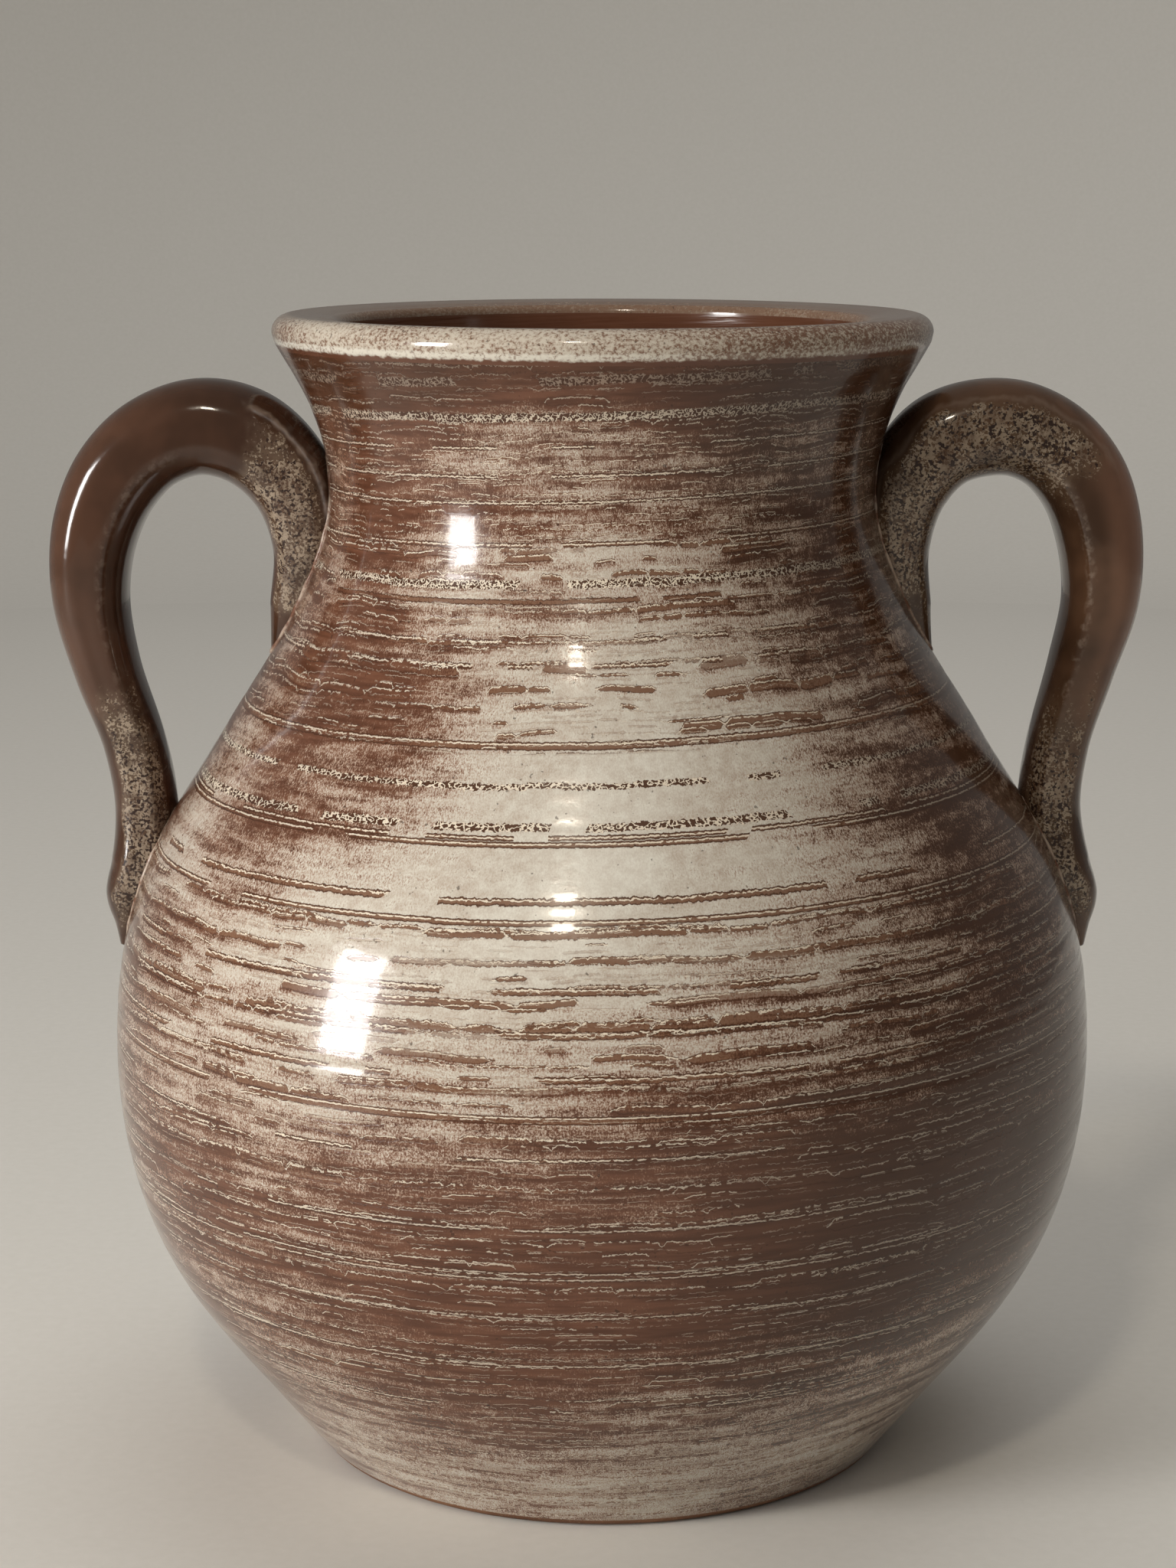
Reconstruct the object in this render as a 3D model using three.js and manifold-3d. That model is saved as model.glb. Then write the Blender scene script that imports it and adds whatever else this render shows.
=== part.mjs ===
// A two-handled stoneware jar, in millimetres, with +Z up.
// The jar stands on z = 0 and its axis is the Z axis. The handles point along -X and +X.

import * as THREE from 'three';
import * as BufferGeometryUtils from 'three/addons/utils/BufferGeometryUtils.js';
import Module from 'manifold-3d';

const wasm = await Module();
wasm.setup();

// Overall size. Every other height follows the jar's height, and every other radius follows the belly's.

const jarHeight = 289.6;
const bellyRadius = 124.5;

// Driving dimensions of the thrown body

const footRadius = 0.594 * bellyRadius;
const flankHeight = 0.062 * jarHeight;
const flankRadius = 0.707 * bellyRadius;
const haunchHeight = 0.166 * jarHeight;
const haunchRadius = 0.887 * bellyRadius;
const bellyHeight = 0.359 * jarHeight;
const shoulderHeight = 0.518 * jarHeight;
const shoulderRadius = 0.934 * bellyRadius;
const slopeHeight = 0.642 * jarHeight;
const slopeRadius = 0.766 * bellyRadius;
const collarHeight = 0.753 * jarHeight;
const collarRadius = 0.614 * bellyRadius;
const neckHeight = 0.85 * jarHeight;
const neckRadius = 0.549 * bellyRadius;
const flareHeight = 0.925 * jarHeight;
const flareRadius = 0.59 * bellyRadius;
const lipHeight = 0.977 * jarHeight;
const lipRadius = 0.656 * bellyRadius;

const wall = 6.5;
const floorThickness = 9;
const footRingWidth = 11;
const footRecess = 2.5;
const footChamfer = 1.2;

// Heights of the joints between the thrown sections

const baseJoint = 0.0415 * jarHeight;
const lowerJoint = 0.18 * jarHeight;
const bellyJoint = 0.318 * jarHeight;
const collarJoint = 0.615 * jarHeight;
const rimJoint = 0.936 * jarHeight;

// Driving dimensions of the rolled rim

const rimRadius = 0.66 * bellyRadius;
const rimBulgeHeight = 0.985 * jarHeight;
const rimCrestRadius = 0.623 * bellyRadius;
const rimInnerRadius = 0.53 * bellyRadius;
const rimSlope = 1.1;
const rimInnerRound = 2.2;

// Clearance between touching pieces, and the layer of slip under a handle

const clearance = 0.3;
const slipThickness = 0.7;
const slipMargin = 1.1;

// Stations of the handles, in hundredths of the jar's height.
// The centre of a section stands off the body's outer surface by left or right, at its height.
// The right handle stands a little closer to the body than the left one.
// Thick is measured in the plane of the handle and wide across it.

const stationUnit = jarHeight / 100;
const handleStations = [
  { left: -1.5, right: -1.5, height: 68.7, thick: 1, wide: 1.7 },
  { left: -0.2, right: -0.5, height: 74.3, thick: 4.9, wide: 5.2 },
  { left: 1.1, right: 0.9, height: 80.1, thick: 6.3, wide: 7.9 },
  { left: 3.3, right: 2.9, height: 85.5, thick: 7.6, wide: 9.3 },
  { left: 6.2, right: 5.4, height: 89.1, thick: 8.3, wide: 9.7 },
  { left: 10.2, right: 10.3, height: 90.2, thick: 8.3, wide: 9.7 },
  { left: 14.9, right: 14.6, height: 88.8, thick: 8.1, wide: 9.7 },
  { left: 18.6, right: 18, height: 85.6, thick: 7.9, wide: 9.7 },
  { left: 20, right: 19, height: 81.1, thick: 7.4, wide: 9.7 },
  { left: 18.4, right: 17.2, height: 75.5, thick: 6.6, wide: 9.3 },
  { left: 13.6, right: 12.1, height: 69.1, thick: 5.7, wide: 8.6 },
  { left: 7.3, right: 6.2, height: 62.5, thick: 5.3, wide: 7.9 },
  { left: 2.9, right: 2.1, height: 57, thick: 5.4, wide: 7.9 },
  { left: 0.6, right: 0.3, height: 51.9, thick: 5.5, wide: 8.6 },
  { left: 0.7, right: 0.6, height: 48.9, thick: 4.4, wide: 7.3 },
  { left: 0.2, right: 0.2, height: 46.3, thick: 2.6, wide: 4.5 },
  { left: 0.1, right: 0.1, height: 44.2, thick: 1.1, wide: 2.1 },
];
const sectionSquareness = 2.5;
const tailHeight = handleStations[0].height * stationUnit;
const tipHeight = handleStations[handleStations.length - 1].height * stationUnit;

// Facets

const turns = 72;
const stepHeight = 8;
const sectionSides = 16;
const stepsPerStation = 3;
const outerRoundSteps = 6;
const innerRoundSteps = 4;
const mergeDistance = 1e-4;

// Colours

const glazeBrown = new THREE.MeshStandardMaterial({ color: 0x6b4a3c, roughness: 0.22, metalness: 0 });
const glazePale = new THREE.MeshStandardMaterial({ color: 0xb3aa9c, roughness: 0.25, metalness: 0 });
const handleBrown = new THREE.MeshStandardMaterial({ color: 0x4f342a, roughness: 0.18, metalness: 0 });
const bareClay = new THREE.MeshStandardMaterial({ color: 0x5a3b2c, roughness: 0.85, metalness: 0 });
const slipBead = new THREE.MeshStandardMaterial({ color: 0x9c8c7c, roughness: 0.3, metalness: 0 });

// The outer surface, as radius over height

const outerKnots = [
  [0, footRadius],
  [flankHeight, flankRadius],
  [haunchHeight, haunchRadius],
  [bellyHeight, bellyRadius],
  [shoulderHeight, shoulderRadius],
  [slopeHeight, slopeRadius],
  [collarHeight, collarRadius],
  [neckHeight, neckRadius],
  [flareHeight, flareRadius],
  [lipHeight, lipRadius],
];

// Slope of the curve at a knot: the weighted mean of its two chords, or the chord at an end.
function knotSlope(knots, i) {
  const chord = (a, b) => (knots[b][1] - knots[a][1]) / (knots[b][0] - knots[a][0]);
  if (i === 0) return chord(0, 1);
  if (i === knots.length - 1) return chord(i - 1, i);
  const before = knots[i][0] - knots[i - 1][0];
  const after = knots[i + 1][0] - knots[i][0];
  return (chord(i - 1, i) * after + chord(i, i + 1) * before) / (before + after);
}

// Smooth curve through knots of [height, radius].
function curveAt(knots, height) {
  let i = 0;
  while (i < knots.length - 2 && height > knots[i + 1][0]) i += 1;
  const span = knots[i + 1][0] - knots[i][0];
  const t = (height - knots[i][0]) / span;
  const rise = t * t * (3 - 2 * t);
  const start = t * (1 - t) * (1 - t) * span * knotSlope(knots, i);
  const end = t * t * (t - 1) * span * knotSlope(knots, i + 1);
  return knots[i][1] + rise * (knots[i + 1][1] - knots[i][1]) + start + end;
}

function outerRadius(height) {
  return curveAt(outerKnots, height);
}

// Slope of the outer surface: how fast its radius grows with height.
function outerSlope(height) {
  const step = 0.5;
  return (outerRadius(height + step) - outerRadius(height - step)) / (2 * step);
}

// A point that stands off the outer surface by a distance, square to it.
function offsetPoint(height, distance) {
  const slope = outerSlope(height);
  const length = Math.hypot(1, slope);
  return new THREE.Vector2(outerRadius(height) + distance / length, height - (distance * slope) / length);
}

function innerRadius(height) {
  const slanted = outerRadius(height) - wall * Math.hypot(1, outerSlope(height));
  return height > neckHeight ? Math.min(slanted, rimInnerRadius) : slanted;
}

// Heights from low to high, in even steps.
function heightsBetween(low, high) {
  const count = Math.max(1, Math.round((high - low) / stepHeight));
  return Array.from({ length: count + 1 }, (_, i) => low + ((high - low) * i) / count);
}

// Turns a closed outline of Vector2(radius, height), drawn counter-clockwise, about the Z axis.
function turned(outline) {
  const closed = [...outline, outline[0].clone()];
  return new THREE.LatheGeometry(closed, turns).rotateX(Math.PI / 2);
}

function asSolid(geometry) {
  const bare = geometry.clone();
  bare.deleteAttribute('normal');
  bare.deleteAttribute('uv');
  const merged = BufferGeometryUtils.mergeVertices(bare, mergeDistance);
  const vertProperties = new Float32Array(merged.attributes.position.array);
  const triVerts = new Uint32Array(merged.index.array);
  return new wasm.Manifold(new wasm.Mesh({ numProp: 3, vertProperties, triVerts }));
}

function asGeometry(solid) {
  const mesh = solid.getMesh();
  const geometry = new THREE.BufferGeometry();
  geometry.setAttribute('position', new THREE.BufferAttribute(new Float32Array(mesh.vertProperties), 3));
  geometry.setIndex(new THREE.BufferAttribute(new Uint32Array(mesh.triVerts), 1));
  geometry.computeVertexNormals();
  return geometry;
}

function part(name, geometry, material) {
  const mesh = new THREE.Mesh(geometry, material);
  mesh.name = name;
  return mesh;
}

// A ring of the body's wall between two heights.
function wallRing(low, high) {
  const heights = heightsBetween(low, high);
  const outside = heights.map((height) => new THREE.Vector2(outerRadius(height), height));
  const inside = heights.map((height) => new THREE.Vector2(innerRadius(height), height)).reverse();
  return turned([...outside, ...inside]);
}

// The floor and the foot, with a shallow recess under the floor.
function base() {
  const top = baseJoint - clearance / 2;
  const floorTop = Math.min(footRecess + floorThickness, top - clearance);
  const ringInner = footRadius - footRingWidth;
  const outline = [
    new THREE.Vector2(0, footRecess),
    new THREE.Vector2(ringInner - footRecess, footRecess),
    new THREE.Vector2(ringInner, 0),
    new THREE.Vector2(footRadius - footChamfer, 0),
    new THREE.Vector2(outerRadius(footChamfer), footChamfer),
    new THREE.Vector2(outerRadius(top), top),
    new THREE.Vector2(innerRadius(top), top),
    new THREE.Vector2(innerRadius(top) - footRecess, floorTop),
    new THREE.Vector2(0, floorTop),
  ];
  return new THREE.LatheGeometry(outline, turns).rotateX(Math.PI / 2);
}

// The rolled rim: the flare goes on up to a round outer edge, a top that slopes inward, and a round inner edge.
function rim() {
  const bottom = rimJoint + clearance / 2;
  const outside = heightsBetween(bottom, lipHeight).map((height) => new THREE.Vector2(outerRadius(height), height));
  const outerRound = new THREE.EllipseCurve(
    rimCrestRadius, rimBulgeHeight, rimRadius - rimCrestRadius, jarHeight - rimBulgeHeight, 0, Math.PI / 2,
  );
  const innerTop = jarHeight - rimSlope;
  const innerRound = new THREE.EllipseCurve(
    rimInnerRadius + rimInnerRound, innerTop - rimInnerRound, rimInnerRound, rimInnerRound, Math.PI / 2, Math.PI,
  );
  return turned([
    ...outside,
    ...outerRound.getPoints(outerRoundSteps),
    ...innerRound.getPoints(innerRoundSteps),
    new THREE.Vector2(innerRadius(bottom), bottom),
  ]);
}

// Everything inside a surface that stands off the body by a distance.
function bodyGrownBy(distance) {
  const low = tipHeight - stepHeight * 2;
  const heights = heightsBetween(low, rimJoint);
  const outside = heights.map((height) => offsetPoint(height, distance));
  const bottom = new THREE.Vector2(0, outside[0].y);
  const top = new THREE.Vector2(0, outside[outside.length - 1].y);
  return asSolid(new THREE.LatheGeometry([bottom, ...outside, top], turns).rotateX(Math.PI / 2));
}

// A handle swept along its stations, grown by a margin, and turned to its side of the jar.
function handleLoft(margin, { name, side }) {
  const route = new THREE.CatmullRomCurve3(handleStations.map((station) => {
    const height = station.height * stationUnit;
    return new THREE.Vector3(outerRadius(height) + station[name] * stationUnit, 0, height);
  }));
  const sizes = new THREE.CatmullRomCurve3(handleStations.map(({ thick, wide }) => (
    new THREE.Vector3((thick * stationUnit) / 2 + margin, (wide * stationUnit) / 2 + margin, 0)
  )));
  const rings = (handleStations.length - 1) * stepsPerStation;
  const positions = [];
  const indices = [];
  for (let ring = 0; ring <= rings; ring += 1) {
    const t = ring / rings;
    const centre = route.getPoint(t);
    const size = sizes.getPoint(t);
    const along = route.getTangent(t);
    const outward = new THREE.Vector3(along.z, 0, -along.x);
    for (let k = 0; k < sectionSides; k += 1) {
      const angle = (2 * Math.PI * k) / sectionSides;
      const c = Math.cos(angle);
      const s = Math.sin(angle);
      const bulge = (Math.abs(c) ** sectionSquareness + Math.abs(s) ** sectionSquareness) ** (-1 / sectionSquareness);
      const point = centre.clone().addScaledVector(outward, size.x * bulge * c);
      positions.push(side * point.x, side * size.y * bulge * s, point.z);
    }
  }
  const first = positions.length / 3;
  const startTip = route.getPoint(0);
  const endTip = route.getPoint(1);
  positions.push(side * startTip.x, 0, startTip.z, side * endTip.x, 0, endTip.z);
  for (let k = 0; k < sectionSides; k += 1) {
    const next = (k + 1) % sectionSides;
    for (let ring = 0; ring < rings; ring += 1) {
      const a = ring * sectionSides + k;
      const b = ring * sectionSides + next;
      indices.push(a, b, a + sectionSides, b, b + sectionSides, a + sectionSides);
    }
    const last = rings * sectionSides;
    indices.push(first, next, k, first + 1, last + k, last + next);
  }
  const geometry = new THREE.BufferGeometry();
  geometry.setAttribute('position', new THREE.Float32BufferAttribute(positions, 3));
  geometry.setIndex(indices);
  return asSolid(geometry);
}

// The thin layer of slip that lutes a handle to the body, between two heights.
function slipLayer(side, low, high) {
  const heights = heightsBetween(low, high);
  const outside = heights.map((height) => offsetPoint(height, clearance + slipThickness));
  const inside = heights.map((height) => offsetPoint(height, clearance)).reverse();
  const shell = asSolid(turned([...outside, ...inside]));
  return shell.intersect(handleLoft(slipMargin, side));
}

function handle(side) {
  return handleLoft(0, side).subtract(bodyGrownBy(slipThickness + 2 * clearance));
}

const jar = new THREE.Group();
const gap = clearance / 2;
jar.add(part('base', base(), bareClay));
jar.add(part('lower_body', wallRing(baseJoint + gap, lowerJoint - gap), glazeBrown));
jar.add(part('belly', wallRing(lowerJoint + gap, bellyJoint - gap), glazeBrown));
jar.add(part('upper_body', wallRing(bellyJoint + gap, collarJoint - gap), glazeBrown));
jar.add(part('neck', wallRing(collarJoint + gap, rimJoint - gap), glazeBrown));
jar.add(part('rim', rim(), glazePale));

const sides = [
  { name: 'left', side: -1 },
  { name: 'right', side: 1 },
];
for (const side of sides) {
  jar.add(part(`handle_${side.name}`, asGeometry(handle(side)), handleBrown));
  const upper = slipLayer(side, tailHeight - stepHeight, rimJoint);
  const lower = slipLayer(side, tipHeight - stepHeight, tailHeight - stepHeight);
  jar.add(part(`slip_${side.name}_upper`, asGeometry(upper), slipBead));
  jar.add(part(`slip_${side.name}_lower`, asGeometry(lower), slipBead));
}

export default jar;
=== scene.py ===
"""A two-handled stoneware jar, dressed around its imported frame.

Every piece stands in the frame's own axes: +Z is up, the jar stands on z = 0, its handles point along
-X and +X, and the camera looks along +Y. Shapes are worked out in millimetres and built in metres.
"""

import logging
import math
from dataclasses import dataclass, field
from enum import Enum

import bmesh
import bpy
import numpy as np
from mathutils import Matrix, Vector


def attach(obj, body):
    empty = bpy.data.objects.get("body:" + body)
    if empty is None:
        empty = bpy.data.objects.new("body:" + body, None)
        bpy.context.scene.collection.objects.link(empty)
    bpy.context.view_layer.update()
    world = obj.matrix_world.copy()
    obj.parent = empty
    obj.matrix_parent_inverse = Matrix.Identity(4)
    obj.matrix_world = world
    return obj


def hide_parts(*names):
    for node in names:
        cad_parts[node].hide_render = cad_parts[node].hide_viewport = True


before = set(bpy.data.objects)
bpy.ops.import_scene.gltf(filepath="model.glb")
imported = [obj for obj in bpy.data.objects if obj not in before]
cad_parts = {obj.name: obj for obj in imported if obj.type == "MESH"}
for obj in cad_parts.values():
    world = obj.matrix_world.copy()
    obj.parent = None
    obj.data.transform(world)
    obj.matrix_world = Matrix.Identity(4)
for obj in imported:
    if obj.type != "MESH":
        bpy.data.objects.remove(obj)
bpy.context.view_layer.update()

MM = 0.001
FULL_TURN = 2 * math.pi
ARRIS_AROUND = 0.18
SAME_POINT = 1e-4
log = logging.getLogger("jar")

Value = bpy.types.NodeSocket | float | tuple[float, ...]
Scale = float | tuple[float, float, float]


# Colours and small helpers


def srgb(red: int, green: int, blue: int) -> tuple[float, float, float, float]:
    """Turns a display colour into the linear colour that shaders take.

    Args:
        red: red from 0 to 255.
        green: green from 0 to 255.
        blue: blue from 0 to 255.

    Returns:
        The linear colour with an alpha of one.
    """
    channels = [c / 255 for c in (red, green, blue)]
    linear = [c / 12.92 if c <= 0.04045 else ((c + 0.055) / 1.055) ** 2.4 for c in channels]
    return (*linear, 1.0)


class Side(Enum):
    """The two sides that carry a handle, with the sign of their X direction."""

    LEFT = -1
    RIGHT = 1


class PaleEdge(Enum):
    """Where the pale line of a wheel groove runs beside its brown core."""

    ABOVE = 1
    BELOW = -1
    NONE = 0


@dataclass(frozen=True)
class WheelLine:
    """A groove that runs right round the jar.

    Heights, depths and widths are in millimetres, and beads runs from a clean line, 0, to a broken one, 1.
    """

    height: float
    depth: float
    width: float
    beads: float
    pale: PaleEdge

    @property
    def squiggled(self) -> bool:
        """Whether squiggles of pale glaze fill the groove instead of one line."""
        return self.beads >= 0.95

    @property
    def kept_share(self) -> float:
        """The share of the groove's dashes that are there."""
        return 0.85 if self.squiggled else 1.0 - 0.5 * self.beads


WHEEL_LINES = (
    WheelLine(278.4, 0.04, 1.6, 1.0, PaleEdge.ABOVE),
    WheelLine(270.0, 0.08, 1.5, 1.0, PaleEdge.ABOVE),
    WheelLine(262.6, 0.05, 0.5, 0.5, PaleEdge.BELOW),
    WheelLine(255.8, 0.05, 0.5, 0.4, PaleEdge.ABOVE),
    WheelLine(249.6, 0.05, 0.5, 0.4, PaleEdge.BELOW),
    WheelLine(239.8, 0.06, 0.7, 0.3, PaleEdge.ABOVE),
    WheelLine(231.0, 0.10, 1.4, 1.0, PaleEdge.ABOVE),
    WheelLine(227.2, 0.06, 0.8, 0.5, PaleEdge.NONE),
    WheelLine(218.4, 0.05, 0.7, 0.7, PaleEdge.ABOVE),
    WheelLine(213.0, 0.05, 0.7, 0.8, PaleEdge.ABOVE),
    WheelLine(196.2, 0.09, 1.3, 0.3, PaleEdge.ABOVE),
    WheelLine(188.0, 0.05, 0.8, 0.95, PaleEdge.NONE),
    WheelLine(179.4, 0.08, 1.2, 1.0, PaleEdge.ABOVE),
    WheelLine(177.2, 0.05, 0.6, 0.35, PaleEdge.ABOVE),
    WheelLine(175.8, 0.08, 0.8, 0.15, PaleEdge.ABOVE),
    WheelLine(164.4, 0.05, 1.1, 0.8, PaleEdge.ABOVE),
    WheelLine(160.0, 0.07, 0.9, 0.2, PaleEdge.ABOVE),
    WheelLine(146.0, 0.08, 1.2, 0.7, PaleEdge.ABOVE),
    WheelLine(136.8, 0.08, 1.3, 0.7, PaleEdge.ABOVE),
    WheelLine(127.0, 0.08, 1.1, 0.8, PaleEdge.ABOVE),
    WheelLine(118.0, 0.16, 1.4, 0.1, PaleEdge.ABOVE),
    WheelLine(109.0, 0.05, 0.5, 0.6, PaleEdge.BELOW),
    WheelLine(92.4, 0.06, 0.5, 0.3, PaleEdge.ABOVE),
    WheelLine(81.8, 0.06, 0.5, 0.35, PaleEdge.ABOVE),
    WheelLine(80.3, 0.05, 0.5, 0.2, PaleEdge.BELOW),
    WheelLine(70.4, 0.05, 0.5, 0.6, PaleEdge.ABOVE),
    WheelLine(57.0, 0.06, 0.6, 0.6, PaleEdge.ABOVE),
    WheelLine(43.0, 0.06, 0.6, 0.8, PaleEdge.ABOVE),
)


# The thrown outline


@dataclass(frozen=True)
class Outline:
    """The thrown outline of the jar, with the same shares of height and belly as the part's source.

    Lengths are in millimetres. Each knot is a share of the height and a share of the belly's radius. From
    finger to ring, the fields shape the marks of the potter's hands: depths, and the heights that they
    repeat over. The marks fade out at their lowest and highest level, and the plain middle has none.
    """

    jar_height: float = 289.6
    belly_radius: float = 124.5
    knots: tuple[tuple[float, float], ...] = (
        (0, 0.594), (0.062, 0.707), (0.166, 0.887), (0.359, 1), (0.518, 0.934),
        (0.642, 0.766), (0.753, 0.614), (0.85, 0.549), (0.925, 0.59), (0.977, 0.656),
    )
    wall: float = 6.5
    wheel_tilt: float = 2.4
    groove_width: float = 1.1
    slope_step: float = 0.5
    neck_share: float = 0.85
    mouth_share: float = 0.53
    finger_depth: float = 0.03
    finger_pitch: float = 4.9
    sway_depth: float = 0.06
    sway_pitch: float = 11.3
    squash_depth: float = 0.25
    ring_depth: float = 0.35
    ring_pitch: float = 8.0
    marks_low: float = 1.5
    marks_high: float = 283.5
    marks_fade: float = 6.0
    plain_middle: float = 20.0

    def radius(self, height: np.ndarray) -> np.ndarray:
        """Finds the outer radius on a smooth curve through the knots.

        Args:
            height: heights above the table.

        Returns:
            The outer radius at each height.
        """
        tall = np.array([share for share, _ in self.knots]) * self.jar_height
        wide = np.array([share for _, share in self.knots]) * self.belly_radius
        span = np.diff(tall)
        chord = np.diff(wide) / span
        slope = np.concatenate([
            chord[:1],
            (chord[:-1] * span[1:] + chord[1:] * span[:-1]) / (span[:-1] + span[1:]),
            chord[-1:],
        ])
        i = np.clip(np.searchsorted(tall, height, side="right") - 1, 0, len(span) - 1)
        t = (height - tall[i]) / span[i]
        start = t * (1 - t) ** 2 * span[i] * slope[i]
        end = t * t * (t - 1) * span[i] * slope[i + 1]
        return wide[i] + t * t * (3 - 2 * t) * (wide[i + 1] - wide[i]) + start + end

    def slope(self, height: np.ndarray) -> np.ndarray:
        """Gives how fast the outer radius grows with height."""
        step = self.slope_step
        return (self.radius(height + step) - self.radius(height - step)) / (2 * step)

    def inner_radius(self, height: np.ndarray) -> np.ndarray:
        """Gives the radius of the hollow, which stays one wall inside the outer surface."""
        slanted = self.radius(height) - self.wall * np.hypot(1, self.slope(height))
        straight = np.minimum(slanted, self.mouth_share * self.belly_radius)
        return np.where(height > self.neck_share * self.jar_height, straight, slanted)

    def outside_relief(self, height: np.ndarray, angle: np.ndarray) -> np.ndarray:
        """Gives how far the wheel's grooves and the potter's fingers move the outer surface.

        Args:
            height: heights above the table.
            angle: angles about the axis, from +X.

        Returns:
            The move along the radius, in millimetres, outwards positive.
        """
        level = height - self.wheel_tilt * np.cos(angle)
        fingers = self.finger_depth * np.sin(level / self.finger_pitch + 1.1 + 0.8 * np.sin(level / 31))
        fingers += self.sway_depth * np.sin(level / self.sway_pitch + 0.7 * np.sin(level / 43))
        fingers += self.squash_depth * np.sin(2 * angle + level / 90)
        grooves = sum(
            line.depth * np.exp(-(((level - line.height) / max(line.width, self.groove_width)) ** 2))
            for line in WHEEL_LINES
        )
        return fingers - grooves

    def inside_relief(self, height: np.ndarray, angle: np.ndarray) -> np.ndarray:
        """Gives the spiral of throwing rings inside, as a move along the radius in millimetres."""
        level = height + self.ring_pitch * angle / FULL_TURN
        return self.ring_depth * np.sin(FULL_TURN * level / self.ring_pitch)


OUTLINE = Outline()
BASE_JOINT = 0.0415 * OUTLINE.jar_height
LOWER_JOINT = 0.18 * OUTLINE.jar_height
BELLY_JOINT = 0.318 * OUTLINE.jar_height
NECK_JOINT = 0.615 * OUTLINE.jar_height
RIM_JOINT = 0.936 * OUTLINE.jar_height


# Node building


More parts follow.
